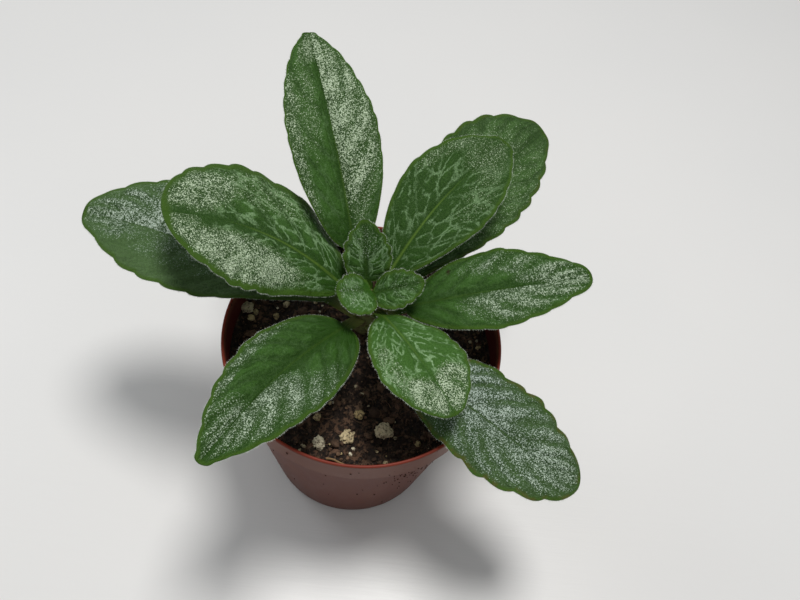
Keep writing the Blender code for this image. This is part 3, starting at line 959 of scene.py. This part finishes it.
def soil_height(x, y):
    """Height of the soil in mm at a place in mm."""
    away = math.hypot(x - STEM_X, y - STEM_Y)
    mound = MOUND_HEIGHT * math.exp(-((away / MOUND_SPREAD) ** 2))
    coarse = noise.noise(Vector((x * 0.11, y * 0.11, 3.7)))
    fine = noise.noise(Vector((x * 0.32, y * 0.32, 8.1)))
    inside = max(0.0, 1.0 - (math.hypot(x, y) / 43.0) ** 6)
    return SOIL_EDGE_HEIGHT + mound + inside * 1.1 * (coarse + 0.7 * fine)


def crumbs(x, y):
    """Crumbly detail of the surface, from about -1 to 1."""
    near = noise.voronoi(Vector((x * 0.42, y * 0.42, 1.3)))[0]
    small = noise.voronoi(Vector((x * 1.05, y * 1.05, 6.3)))[0]
    rough = noise.fractal(Vector((x * 0.8, y * 0.8, 2.2)), 0.8, 2.1, 4)
    return 0.75 * (near[1] - near[0]) + 0.35 * (small[1] - small[0]) + 0.45 * rough - 0.35


def peat_material(look):
    """Moist peat with paler fibres and a painted pool of light on the mound's front."""
    paint = Paint("peat")
    place = paint.object_place()
    cloud = paint.noise(place, 120.0, 3.0, 0.6)
    grain = paint.noise(place, 900.0, 4.0, 0.7)
    strands = paint.noise(paint.vector("MULTIPLY", place, (1.0, 0.22, 1.0)), 1500.0, 2.0,
                          0.6, 1.4)
    pale = paint.smooth(strands, 0.58, 0.70) * paint.smooth(cloud, 0.42, 0.60)
    colour = paint.mix(paint.smooth(grain, 0.38, 0.62), (0.007, 0.0045, 0.0035), look.colour)
    crumb = paint.noise(place, 420.0, 3.0, 0.7)
    # Painted light: the mound's front, where light falls between the leaves, gets more crumbs
    # in a lighter, warmer colour
    across, back = (paint.part(place, i) * (1 / MM) for i in (0, 1))
    dry = 1 - paint.smooth((across ** 2 + (back + 17) ** 2) ** 0.5, 3.0, 13.0)
    colour = paint.mix(paint.smooth(crumb, 0.48, 0.62)
                       * paint.smooth(cloud, 0.34, 0.56).most(dry), colour,
                       paint.mix(dry, (0.140, 0.076, 0.046), (0.20, 0.125, 0.080)))
    colour = paint.mix(pale * 0.8, colour, look.fibre_colour)
    return paint.finish(Base_Color=colour, Roughness=0.72 + 0.2 * grain,
                        Specular_IOR_Level=0.35,
                        Normal=paint.bump(grain + crumb + 0.5 * strands, 0.0006, 1.0))


# Outline of the compost below its top, as (radius, height) in mm
SOIL_WALL = ((42.85, 69.05), (40.85, 67.85), (29.65, 2.45), (28.7, 1.65))


def build_soil(look):
    """The compost: a crumbly top on the body that fills the pot."""
    steps = 168
    bpy.ops.mesh.primitive_grid_add(x_subdivisions=steps, y_subdivisions=steps, size=2.0)
    obj = bpy.context.object
    obj.name = "soil_body"
    mesh = obj.data
    flat = read_points(mesh)
    x = flat[:, 0] * np.sqrt(1 - flat[:, 1] ** 2 / 2) * SOIL_RADIUS
    y = flat[:, 1] * np.sqrt(1 - flat[:, 0] ** 2 / 2) * SOIL_RADIUS
    z = np.empty_like(x)
    for i, (px, py) in enumerate(zip(x, y)):
        inner = min(1.0, max(0.0, (SOIL_RADIUS - math.hypot(px, py)) / 1.2))
        z[i] = soil_height(px, py) + inner * look.roughness / MM * crumbs(px, py)
    write_points(mesh, np.stack([x, y, z], -1) * MM)
    # Wall and bottom, extruded ring by ring from the top's edge
    activate(obj)
    bpy.ops.object.mode_set(mode="EDIT")
    bpy.ops.mesh.select_mode(type="EDGE")
    bpy.ops.mesh.select_all(action="DESELECT")
    bpy.ops.mesh.select_non_manifold()
    radius, height = SOIL_RADIUS, SOIL_EDGE_HEIGHT
    for next_radius, next_height in SOIL_WALL:
        bpy.ops.mesh.extrude_region_move(
            TRANSFORM_OT_translate={"value": (0, 0, (next_height - height) * MM)})
        ratio = next_radius / radius
        bpy.ops.transform.resize(value=(ratio, ratio, 1.0), center_override=(0, 0, 0))
        radius, height = next_radius, next_height
    bpy.ops.mesh.edge_face_add()
    bpy.ops.mesh.select_all(action="SELECT")
    bpy.ops.mesh.normals_make_consistent(inside=False)
    bpy.ops.object.mode_set(mode="OBJECT")
    mesh.materials.append(peat_material(look))
    smooth_by_angle(obj, 60)
    settle(obj, "peat", "soil")
    return obj


# Grains that show, as (x, y, size, warmth, lightness), from the soil's own places in mm
GRAINS = (
    (1.5, -23.7, 3.2, 0.9, 0.85), (-1.3, -31.6, 4.4, 0.65, 1.0), (10.0, -28.2, 5.1, 0.45, 1.0),
    (-10.0, -34.7, 3.8, 0.2, 0.85), (-11.5, -26.0, 2.6, 0.8, 0.7), (0.7, -35.2, 1.3, 0.2, 1.0),
    (0.1, -37.1, 1.2, 0.1, 0.95), (-14.5, -36.0, 1.6, 0.5, 0.45), (11.0, -38.8, 1.6, 0.7, 0.6),
    (20.6, -31.5, 1.8, 0.9, 0.5), (-40.0, 11.4, 3.8, 0.35, 0.65), (-38.0, 7.5, 2.4, 0.8, 0.7),
    (-36.8, 9.9, 2.0, 0.8, 0.45), (-27.1, 14.2, 2.2, 0.6, 0.6), (-17.4, 15.9, 1.4, 0.6, 0.8),
    (-29.7, 8.7, 2.4, 0.9, 0.5), (38.8, 5.3, 1.5, 0.8, 0.7), (38.4, 8.0, 1.0, 0.1, 0.95),
    (36.2, 7.5, 1.2, 0.5, 0.6), (-14.9, 14.5, 1.0, 0.1, 1.0), (-29.9, 12.3, 1.0, 0.1, 1.0),
    (-15.5, 12.3, 0.9, 0.1, 1.0), (-7.2, -20.3, 1.0, 0.0, 1.0),
)


def lump(rng, size, levels, flat=0.85):
    """Points and faces of one rough lump, in mm, round the origin."""
    shape = bmesh.new()
    bmesh.ops.create_icosphere(shape, subdivisions=levels, radius=size / 2)
    offset = Vector((rng.uniform(0, 50), rng.uniform(0, 50), rng.uniform(0, 50)))
    stretch = (rng.uniform(0.85, 1.25), rng.uniform(0.7, 1.05), rng.uniform(0.7, 1.0) * flat)
    turn = Matrix.Rotation(rng.uniform(0, 2 * math.pi), 3, "Z")
    for vert in shape.verts:
        way = vert.co.normalized()
        bump = 1 + 0.42 * noise.noise(way * 1.4 + offset)
        if levels > 2:
            bump += 0.26 * noise.noise(way * 3.6 + offset) \
                - 0.35 * max(0.0, 0.45 - noise.voronoi(way * 2.6 + offset)[0][0])
        vert.co = turn @ Vector([vert.co[i] * stretch[i] for i in range(3)]) * bump
    points = [vert.co.copy() for vert in shape.verts]
    faces = [[vert.index for vert in face.verts] for face in shape.faces]
    shape.free()
    return points, faces


def moved(shape, place):
    """A shape's points and faces taken to a place."""
    points, faces = shape
    return [point + place for point in points], faces


def scattered(rng, radius):
    """A random place within a circle round the pot's axis, in mm."""
    angle = rng.uniform(0, 2 * math.pi)
    reach = radius * math.sqrt(rng.random())
    return reach * math.cos(angle), reach * math.sin(angle)


def join_shapes(name, shapes, extras):
    """One object from many (points, faces), with numbers for each shape."""
    points, faces, rows = [], [], {key: [] for key in extras}
    for i, (shape_points, shape_faces) in enumerate(shapes):
        base = len(points)
        points.extend(tuple(p) for p in shape_points)
        faces.extend([base + corner for corner in face] for face in shape_faces)
        for key in extras:
            rows[key].extend([extras[key][i]] * len(shape_points))
    obj = mesh_object(name, points, faces)
    for key in extras:
        add_attribute(obj.data, key, rows[key])
    return obj


def perlite_material(look):
    """Porous grains, whiter or yellower, with peat in their pits."""
    paint = Paint("perlite")
    place = paint.object_place()
    grain = paint.noise(place, 1400.0, 3.0, 0.6)
    pits = paint.cells(place, 800.0)
    warm = paint.attribute("warm")
    light = paint.attribute("light")
    colour = paint.mix(warm, look.perlite_colour, (0.58, 0.42, 0.18))
    colour = paint.mix(1 - light, colour, (0.15, 0.125, 0.075))
    dirt = paint.smooth(grain + 0.35 * (paint.noise(place, 500.0, 2.0) - 0.5), 0.52, 0.62)
    holes = 1 - paint.smooth(pits, 0.10, 0.34)
    colour = paint.mix(dirt.most(holes) * 0.8, colour, (0.060, 0.040, 0.024))
    return paint.finish(Base_Color=colour, Roughness=0.8,
                        Normal=paint.bump(pits + grain, 0.0003, 0.8))


def build_grains(look):
    """Perlite grains, half sunk in the soil."""
    rng = random.Random(5)
    shapes, warm, light = [], [], []
    places = list(GRAINS)
    for _ in range(60):
        places.append((*scattered(rng, 41), rng.uniform(0.5, 1.3), rng.uniform(0.2, 1.0),
                       rng.uniform(0.3, 0.9)))
    for x, y, size, warmth, lightness in places:
        levels = 4 if size > 3 else 3 if size > 1.4 else 2
        z = soil_height(x, y) + 0.16 * size + 0.15
        shapes.append(moved(lump(rng, size, levels), Vector((x, y, z))))
        warm.append(warmth)
        light.append(lightness)
    obj = join_shapes("perlite_grains", shapes, {"warm": warm, "light": light})
    obj.data.materials.append(perlite_material(look))
    smooth_by_angle(obj, 50)
    settle(obj, "peat")
    return obj


def bark_material(look):
    """Dark bark, crumbs and dry fibres."""
    paint = Paint("bark and fibre")
    place = paint.object_place()
    grain = paint.noise(place, 1100.0, 3.0, 0.65)
    light = paint.attribute("light")
    colour = paint.mix(light, look.colour, look.fibre_colour)
    colour = paint.mix(paint.smooth(grain, 0.4, 0.65) * 0.6, colour, (0.014, 0.009, 0.006))
    colour = paint.mix(paint.smooth(light, 1.0, 1.8), colour, (0.30, 0.19, 0.09))
    return paint.finish(Base_Color=colour, Roughness=0.82, Specular_IOR_Level=0.3,
                        Normal=paint.bump(grain, 0.0003, 0.8))


def tube(path, radii, sides):
    """Points and faces of a closed tube along a path, in mm."""
    points, faces = [], []
    for i, place in enumerate(path):
        ahead = path[min(i + 1, len(path) - 1)] - path[max(i - 1, 0)]
        ahead.normalize()
        aside = ahead.orthogonal().normalized()
        other = ahead.cross(aside)
        for k in range(sides):
            angle = 2 * math.pi * k / sides
            points.append(place + (aside * math.cos(angle) + other * math.sin(angle))
                          * radii[i])
    for i in range(len(path) - 1):
        for k in range(sides):
            a, b = i * sides + k, i * sides + (k + 1) % sides
            faces.append([a, b, b + sides, a + sides])
    faces.append(list(range(sides))[::-1])
    faces.append([(len(path) - 1) * sides + k for k in range(sides)])
    return points, faces


# Fibres end at this distance from the pot's axis, short of the wall, in mm
FIBRE_REACH = 42.2


def fibre(rng, x, y, length, thickness):
    """A thin bent fibre that lies on the soil."""
    angle = rng.uniform(0, 2 * math.pi)
    curl = rng.uniform(-0.5, 0.5)
    path, steps = [], 5
    for i in range(steps + 1):
        z = soil_height(x, y) + 0.25 + rng.uniform(-0.1, 0.35)
        if math.hypot(x, y) > FIBRE_REACH:
            break
        path.append(Vector((x, y, z)))
        x += math.cos(angle) * length / steps
        y += math.sin(angle) * length / steps
        angle += curl + rng.uniform(-0.2, 0.2)
    if len(path) < 3:
        return None
    radii = [thickness / 2 * (0.5 if i in (0, len(path) - 1) else 1.0)
             for i in range(len(path))]
    return tube(path, radii, 4)


def build_litter(look):
    """Crumbs, bark chips, fibres and a straw on the soil."""
    rng = random.Random(23)
    shapes, light = [], []
    for _ in range(look.crumbs):
        x, y = scattered(rng, 42.0)
        size = 0.45 + 1.2 * rng.random() ** 2
        crumb = lump(rng, size, 1, 0.8)
        z = soil_height(x, y) + 0.2 * size + rng.uniform(0.0, 0.5)
        shapes.append(moved(crumb, Vector((x, y, z))))
        light.append(rng.random() ** 2)
    chips = [(-5.0, -34.0, 3.8), (4.9, -30.6, 2.6)]
    chips += [(*scattered(rng, 39.0), rng.uniform(1.8, 4.0)) for _ in range(26)]
    for x, y, size in chips:
        points, faces = lump(rng, size, 2, 0.55)
        tilt = Matrix.Rotation(rng.uniform(-0.6, 0.6), 3, "X")
        z = soil_height(x, y) + 0.15 * size
        shapes.append(moved(([tilt @ point for point in points], faces), Vector((x, y, z))))
        light.append(rng.uniform(0.1, 0.7))
    for _ in range(look.fibres):
        made = fibre(rng, *scattered(rng, 41.0), rng.uniform(2.5, 9.0),
                     rng.uniform(0.12, 0.32))
        if made:
            shapes.append(made)
            light.append(rng.uniform(0.2, 1.3))
    straw = [Vector((-7.1 + 7.1 * i / 6, -39.5 - 1.4 * i / 6 + 0.3 * math.sin(i), 0.0))
             for i in range(7)]
    for place in straw:
        place.z = soil_height(place.x, place.y) + 1.0
    shapes.append(tube(straw, [0.3] * 7, 6))
    light.append(1.6)
    obj = join_shapes("soil_litter", shapes, {"light": light})
    obj.data.materials.append(bark_material(look))
    smooth_by_angle(obj, 40)
    settle(obj, "peat")
    return obj


# Pot and stem

def pot_material(look):
    """Dull terracotta plastic: satin, a little dusty, redder at the thin rim with painted
    light shining through it, painted lighter on the collar and with painted shade inside the
    wall.
    """
    paint = Paint("terracotta plastic")
    place = paint.object_place()
    height = paint.part(place, 2) * (1 / MM)
    cloud = paint.noise(place, 45.0, 3.0, 0.6)
    grain = paint.noise(place, 2200.0, 2.0, 0.6)
    dust = paint.noise(paint.vector("MULTIPLY", place, (1.0, 1.0, 0.35)), 160.0, 4.0, 0.65)
    colour = paint.mix(paint.smooth(cloud, 0.35, 0.7) * 0.5, look.colour,
                       (0.112, 0.034, 0.020))
    # Painted light: the collar above the step is lighter, as light from above falls on it; the
    # same pale colour marks the dust
    collar = paint.smooth(height, POT_STEP - 0.4, POT_STEP + 0.6)
    colour = paint.mix(paint.smooth(dust, 0.45, 0.75) * 0.2 + 0.25 * collar, colour,
                       (0.22, 0.102, 0.066))
    # Painted light: the thin rim turns redder where light is painted shining through it
    rim = paint.smooth(height, POT_HEIGHT - 0.5, POT_HEIGHT - 0.2)
    colour = paint.mix(rim * 0.9, colour, look.rim_colour)
    # Painted shade: the inside of the wall darkens below the rim
    inner = paint.attribute("inner")
    colour = paint.mix(inner * paint.smooth(height, 79.0, 76.0), colour,
                       (0.075, 0.012, 0.010))
    return paint.finish(
        Base_Color=colour,
        Roughness=0.40 + 0.16 * dust,
        Specular_IOR_Level=0.17,
        Normal=paint.bump(grain + 0.4 * dust, 0.00006, 0.5))


def build_pot(look):
    """The pot: tapered wall, stepped collar, rolled rim and drain holes."""
    step, foot, rim = POT_STEP, POT_FOOT, look.rim_radius / MM
    profile = (
        (0.0, 1.5), (foot - 3.0, 1.5), (foot - 2.0, 1.65), (foot - 1.35, 2.3),
        (40.9, step - 0.5), (41.2, step + 0.1), (42.6, step + 0.7), (43.0, step + 1.2),
        (43.95, POT_HEIGHT - 0.6), (44.1, POT_HEIGHT - 0.2), (44.35, POT_HEIGHT),
        (44.65, POT_HEIGHT - 0.03), (44.9, POT_HEIGHT - 0.25), (rim, POT_HEIGHT - 0.6),
        (rim - 0.02, POT_HEIGHT - 1.3), (44.72, POT_HEIGHT - 1.7),
        (44.15, step + 0.9), (44.0, step + 0.4), (43.6, step + 0.05), (42.6, step),
        (42.25, step - 0.25), (42.05, step - 0.8),
        (foot + 0.25, 1.4), (foot, 0.55), (foot - 0.45, 0.12), (foot - 1.0, 0.0),
        (foot - 2.2, 0.0), (foot - 2.8, 0.5), (foot - 6.5, 0.5), (0.0, 0.5),
    )
    obj = turned("pot_body", profile, look.sides)
    for i in range(6):
        angle = 2 * math.pi * (i + 0.5) / 6
        bpy.ops.mesh.primitive_cylinder_add(
            vertices=32, radius=2.8 * MM, depth=6 * MM,
            location=(20 * MM * math.cos(angle), 20 * MM * math.sin(angle), MM))
        cutter = bpy.context.object
        cut = obj.modifiers.new("Drain", "BOOLEAN")
        cut.operation = "DIFFERENCE"
        cut.solver = "EXACT"
        cut.object = cutter
        apply_modifier(obj, cut)
        bpy.data.objects.remove(cutter)
    mesh = obj.data
    points = read_points(mesh) / MM
    radius = np.hypot(points[:, 0], points[:, 1])
    # The inside of the wall is marked for the material's painted shade
    wall = np.interp(points[:, 2], [0, step - 1, step + 1, POT_HEIGHT],
                     [foot - 0.6, 41.6, 43.5, 44.4])
    add_attribute(mesh, "inner", (radius < wall) & (points[:, 2] > 1.45))
    mesh.materials.append(pot_material(look))
    smooth_by_angle(obj, 35)
    settle(obj, "pot_plastic", "pot")
    return obj


def wall_point(degrees, height):
    """A point on the outside of the pot's wall, in mm."""
    radius = np.interp(height, [1.4, 67.2, 68.4, 78.3], [31.25, 42.05, 44.0, 44.72])
    angle = math.radians(degrees)
    return Vector((radius * math.cos(angle), radius * math.sin(angle), height))


def build_specks(look):
    """Crumbs of soil that cling to the pot's wall and to its rim at the left."""
    rng = random.Random(8)
    shapes, light = [], []
    spots = []
    for _ in range(70):
        spots.append((rng.gauss(-58, 9), rng.gauss(50, 11), rng.uniform(0.35, 0.8)))
    for _ in range(34):
        spots.append((rng.uniform(-180, 180), rng.uniform(6, 76), rng.uniform(0.3, 0.7)))
    spots += [(-115, 74, 0.9), (-89, 73, 0.9), (-112, 62, 0.7), (-86, 74.5, 0.6),
              (-112.5, 66, 0.5), (-84, 34, 0.8), (-100, 58, 0.5)]
    for degrees, height, size in spots:
        if not 3 < height < 78:
            continue
        shapes.append(moved(lump(rng, size, 1, 0.8), wall_point(degrees, height)))
        light.append(rng.uniform(0.0, 0.35))
    for degrees, size in ((172.0, 1.3), (170.5, 0.9), (-133.0, 0.6)):
        place = Vector((44.4 * math.cos(math.radians(degrees)),
                        44.4 * math.sin(math.radians(degrees)), POT_HEIGHT - 0.5))
        shapes.append(moved(lump(rng, size, 2, 0.7), place))
        light.append(0.1)
    obj = join_shapes("pot_specks", shapes, {"light": light})
    low, high = (np.array(corner) for corner in CAD_BOX)
    write_points(obj.data, np.clip(read_points(obj.data), low, high))
    obj.data.materials.append(bark_material(look))
    settle(obj, "peat")
    return obj


def stem_material():
    """Brownish green skin with scars."""
    paint = Paint("stem skin")
    place = paint.object_place()
    cloud = paint.noise(place, 260.0, 3.0, 0.6)
    grain = paint.noise(place, 1500.0, 2.0, 0.6)
    colour = paint.mix(paint.smooth(cloud, 0.35, 0.65), (0.120, 0.095, 0.038),
                       (0.160, 0.190, 0.055))
    colour = paint.mix(paint.smooth(grain, 0.55, 0.7) * 0.5, colour, (0.035, 0.020, 0.012))
    return paint.finish(Base_Color=colour, Roughness=0.68,
                        Normal=paint.bump(grain + cloud, 0.0003, 0.7))


# The stem's skin: where it starts and ends, and the leaf scars that wind up it, in mm
STEM_SKIN = 49.0
STEM_DOME = 88.0
SCARS = 9
FIRST_SCAR = 74.5
SCAR_RISE = 1.5
SCAR_TURN = math.radians(137.5)


def skin_swell(point):
    """How far the leaf scars and uneven growth lift the stem's skin at a point, in mm."""
    swell = 0.16 * noise.noise(Vector(point) * 0.5)
    angle = math.atan2(point[1], point[0])
    for k in range(SCARS):
        turn = angle - k * SCAR_TURN
        gap = math.atan2(math.sin(turn), math.cos(turn))
        above = point[2] - (FIRST_SCAR + k * SCAR_RISE)
        swell += 0.30 * math.exp(-(gap / 0.45) ** 2 - (above / 0.9) ** 2)
    return min(swell, 0.35)


def build_stem():
    """The short stem: knobbly with leaf scars, domed at the growing point."""
    profile = [(0.0, STEM_TOP)]
    for radius, below in ((0.7, 0.2), (1.5, 0.9), (2.4, 1.5), (3.0, 2.4), (3.4, 3.9),
                          (3.6, 4.4), (3.8, 5.4)):
        profile.append((radius, STEM_TOP - below))
    steps = 46
    for i in range(steps + 1):
        z = STEM_DOME - (STEM_DOME - STEM_BOTTOM - 0.8) * i / steps
        ring = 0.16 * math.sin(z * 2.1) ** 2
        profile.append((STEM_RADIUS - 0.25 + ring, z))
    profile += [(STEM_RADIUS - 1.0, STEM_BOTTOM), (0.0, STEM_BOTTOM)]
    obj = turned("stem_body", profile, 48)
    points = read_points(obj.data) / MM
    for i, point in enumerate(points):
        radius = math.hypot(point[0], point[1])
        if STEM_SKIN < point[2] < STEM_DOME:
            points[i, :2] *= (radius + skin_swell(point)) / radius
    points[:, 0] += STEM_X
    points[:, 1] += STEM_Y
    write_points(obj.data, points * MM)
    obj.data.materials.append(stem_material())
    smooth_by_angle(obj, 60)
    settle(obj, "stem", "stem")
    return obj


# Stage

def floor_material(look):
    """A plain pale painted board with faint brush marks."""
    paint = Paint("painted board")
    place = paint.object_place()
    streaks = paint.noise(paint.vector("MULTIPLY", place, (1.0, 14.0, 1.0)), 34.0, 4.0, 0.6)
    cloud = paint.noise(place, 9.0, 2.0)
    colour = paint.mix(paint.smooth(cloud, 0.3, 0.7) * 0.5, look.floor_colour,
                       (0.775, 0.775, 0.77))
    return paint.finish(
        Base_Color=colour,
        Roughness=0.34 + 0.12 * streaks,
        Normal=paint.bump(streaks, 0.0002, 0.35))


def add_lamp(name, place, target, size, power, colour):
    """A round area lamp that looks at a point."""
    bpy.ops.object.light_add(type="AREA", location=place)
    lamp = bpy.context.object
    lamp.name = name
    lamp.data.shape = "DISK"
    lamp.data.size = size
    lamp.data.energy = power
    lamp.data.color = colour
    way = Vector(target) - lamp.location
    lamp.rotation_euler = way.to_track_quat("-Z", "Y").to_euler()
    return lamp


def add_camera():
    """A camera at the photograph's place: high in front of the pot, looking down."""
    distance, tilt, roll = 0.2578, math.radians(59.27), math.radians(6.24)
    offset_x, offset_y, focal = -32.5, 38.4, 800.0
    place = Vector((0.0, -distance * math.cos(tilt), POT_HEIGHT * MM
                    + distance * math.sin(tilt)))
    forward = Vector((0.0, math.cos(tilt), -math.sin(tilt)))
    right = Vector((1.0, 0.0, 0.0))
    up = right.cross(forward)
    yaw = math.atan2(offset_x, focal)
    forward, right = (forward * math.cos(yaw) - right * math.sin(yaw),
                      right * math.cos(yaw) + forward * math.sin(yaw))
    pitch = math.atan2(offset_y, math.hypot(focal, offset_x))
    forward, up = (forward * math.cos(pitch) + up * math.sin(pitch),
                   up * math.cos(pitch) - forward * math.sin(pitch))
    right, up = (right * math.cos(roll) + up * math.sin(roll),
                 up * math.cos(roll) - right * math.sin(roll))
    data = bpy.data.cameras.new("camera")
    data.sensor_width = 36.0
    data.lens = 36.0 * focal / 800.0
    data.clip_start = 0.01
    camera = bpy.data.objects.new("camera", data)
    bpy.context.scene.collection.objects.link(camera)
    turn = Matrix((right, up, -forward)).transposed().to_4x4()
    camera.matrix_world = Matrix.Translation(place) @ turn
    bpy.context.scene.camera = camera


def build_stage(look):
    """Floor, lamps, room light and camera."""
    bpy.ops.mesh.primitive_plane_add(size=3.0, location=(0.0, 0.0, 0.0))
    floor = bpy.context.object
    floor.name = "floor"
    floor.data.materials.append(floor_material(look))
    add_lamp("key_lamp", (0.08, 0.06, 0.90), (0.0, 0.0, 0.08), 0.24, look.key_power,
             (1.0, 0.985, 0.96))
    add_lamp("side_lamp", (-0.75, 0.45, 0.75), (0.0, 0.02, 0.09), 0.45, 1.6,
             (0.93, 0.97, 1.0))
    world = bpy.data.worlds.new("room")
    world.use_nodes = True
    back = world.node_tree.nodes["Background"]
    back.inputs["Color"].default_value = (0.97, 0.985, 1.0, 1.0)
    back.inputs["Strength"].default_value = look.room_light
    bpy.context.scene.world = world
    bpy.context.scene.view_settings.view_transform = "Standard"
    add_camera()


# Operators

class PRIMULINA_OT_stage(bpy.types.Operator):
    """Add the floor, the lamps and the camera"""

    bl_idname = "primulina.add_stage"
    bl_label = "Add Stage"

    def execute(self, context):
        deselect_all()
        build_stage(context.scene.primulina_stage)
        return {"FINISHED"}


class PRIMULINA_OT_pot(bpy.types.Operator):
    """Add the plastic pot and the crumbs that cling to it"""

    bl_idname = "primulina.add_pot"
    bl_label = "Add Pot"

    def execute(self, context):
        deselect_all()
        build_pot(context.scene.primulina_pot)
        build_specks(context.scene.primulina_soil)
        return {"FINISHED"}


class PRIMULINA_OT_soil(bpy.types.Operator):
    """Add the compost with its perlite, bark and fibres"""

    bl_idname = "primulina.add_soil"
    bl_label = "Add Soil"

    def execute(self, context):
        deselect_all()
        look = context.scene.primulina_soil
        build_soil(look)
        build_grains(look)
        build_litter(look)
        return {"FINISHED"}


class PRIMULINA_OT_stem(bpy.types.Operator):
    """Add the short scarred stem"""

    bl_idname = "primulina.add_stem"
    bl_label = "Add Stem"

    def execute(self, context):
        deselect_all()
        build_stem()
        return {"FINISHED"}


class PRIMULINA_OT_leaves(bpy.types.Operator):
    """Add the leaves with their veins, silver and hairs"""

    bl_idname = "primulina.add_leaves"
    bl_label = "Add Leaves"

    def execute(self, context):
        deselect_all()
        look = context.scene.primulina_leaf
        faces = (leaf_face_material(look), leaf_underside_material(look))
        hair = hair_material(look)
        for leaf in LEAVES:
            build_blade(leaf, look, faces)
            build_hairs(leaf, look, hair)
        return {"FINISHED"}


class PRIMULINA_PT_panel(bpy.types.Panel):
    """Lists the plant's pieces and their settings"""

    bl_label = "Potted Primulina"
    bl_space_type = "VIEW_3D"
    bl_region_type = "UI"
    bl_category = "Primulina"

    def draw(self, context):
        layout = self.layout
        for group, operators in PANEL_ROWS:
            box = layout.box()
            settings = getattr(context.scene, group)
            for name in settings.bl_rna.properties.keys():
                if name not in ("name", "rna_type"):
                    box.prop(settings, name)
            for operator in operators:
                box.operator(operator)


PANEL_ROWS = (
    ("primulina_pot", ("primulina.add_pot",)),
    ("primulina_soil", ("primulina.add_soil", "primulina.add_stem")),
    ("primulina_leaf", ("primulina.add_leaves",)),
    ("primulina_stage", ("primulina.add_stage",)),
)
SETTINGS = (
    ("primulina_pot", PotSettings),
    ("primulina_soil", SoilSettings),
    ("primulina_leaf", LeafSettings),
    ("primulina_stage", StageSettings),
)
CLASSES = (
    PotSettings, SoilSettings, LeafSettings, StageSettings,
    PRIMULINA_OT_stage, PRIMULINA_OT_pot, PRIMULINA_OT_soil, PRIMULINA_OT_stem,
    PRIMULINA_OT_leaves, PRIMULINA_PT_panel,
)


def register():
    """Register the classes and hang the settings on the scene."""
    for cls in CLASSES:
        bpy.utils.register_class(cls)
    for name, cls in SETTINGS:
        setattr(bpy.types.Scene, name, PointerProperty(type=cls))


def unregister():
    """Undo register."""
    for name, _ in SETTINGS:
        delattr(bpy.types.Scene, name)
    for cls in reversed(CLASSES):
        bpy.utils.unregister_class(cls)


def main():
    """Build every piece."""
    register()
    bpy.ops.primulina.add_stage()
    bpy.ops.primulina.add_pot()
    bpy.ops.primulina.add_soil()
    bpy.ops.primulina.add_stem()
    bpy.ops.primulina.add_leaves()
    deselect_all()


if __name__ == "__main__":
    main()
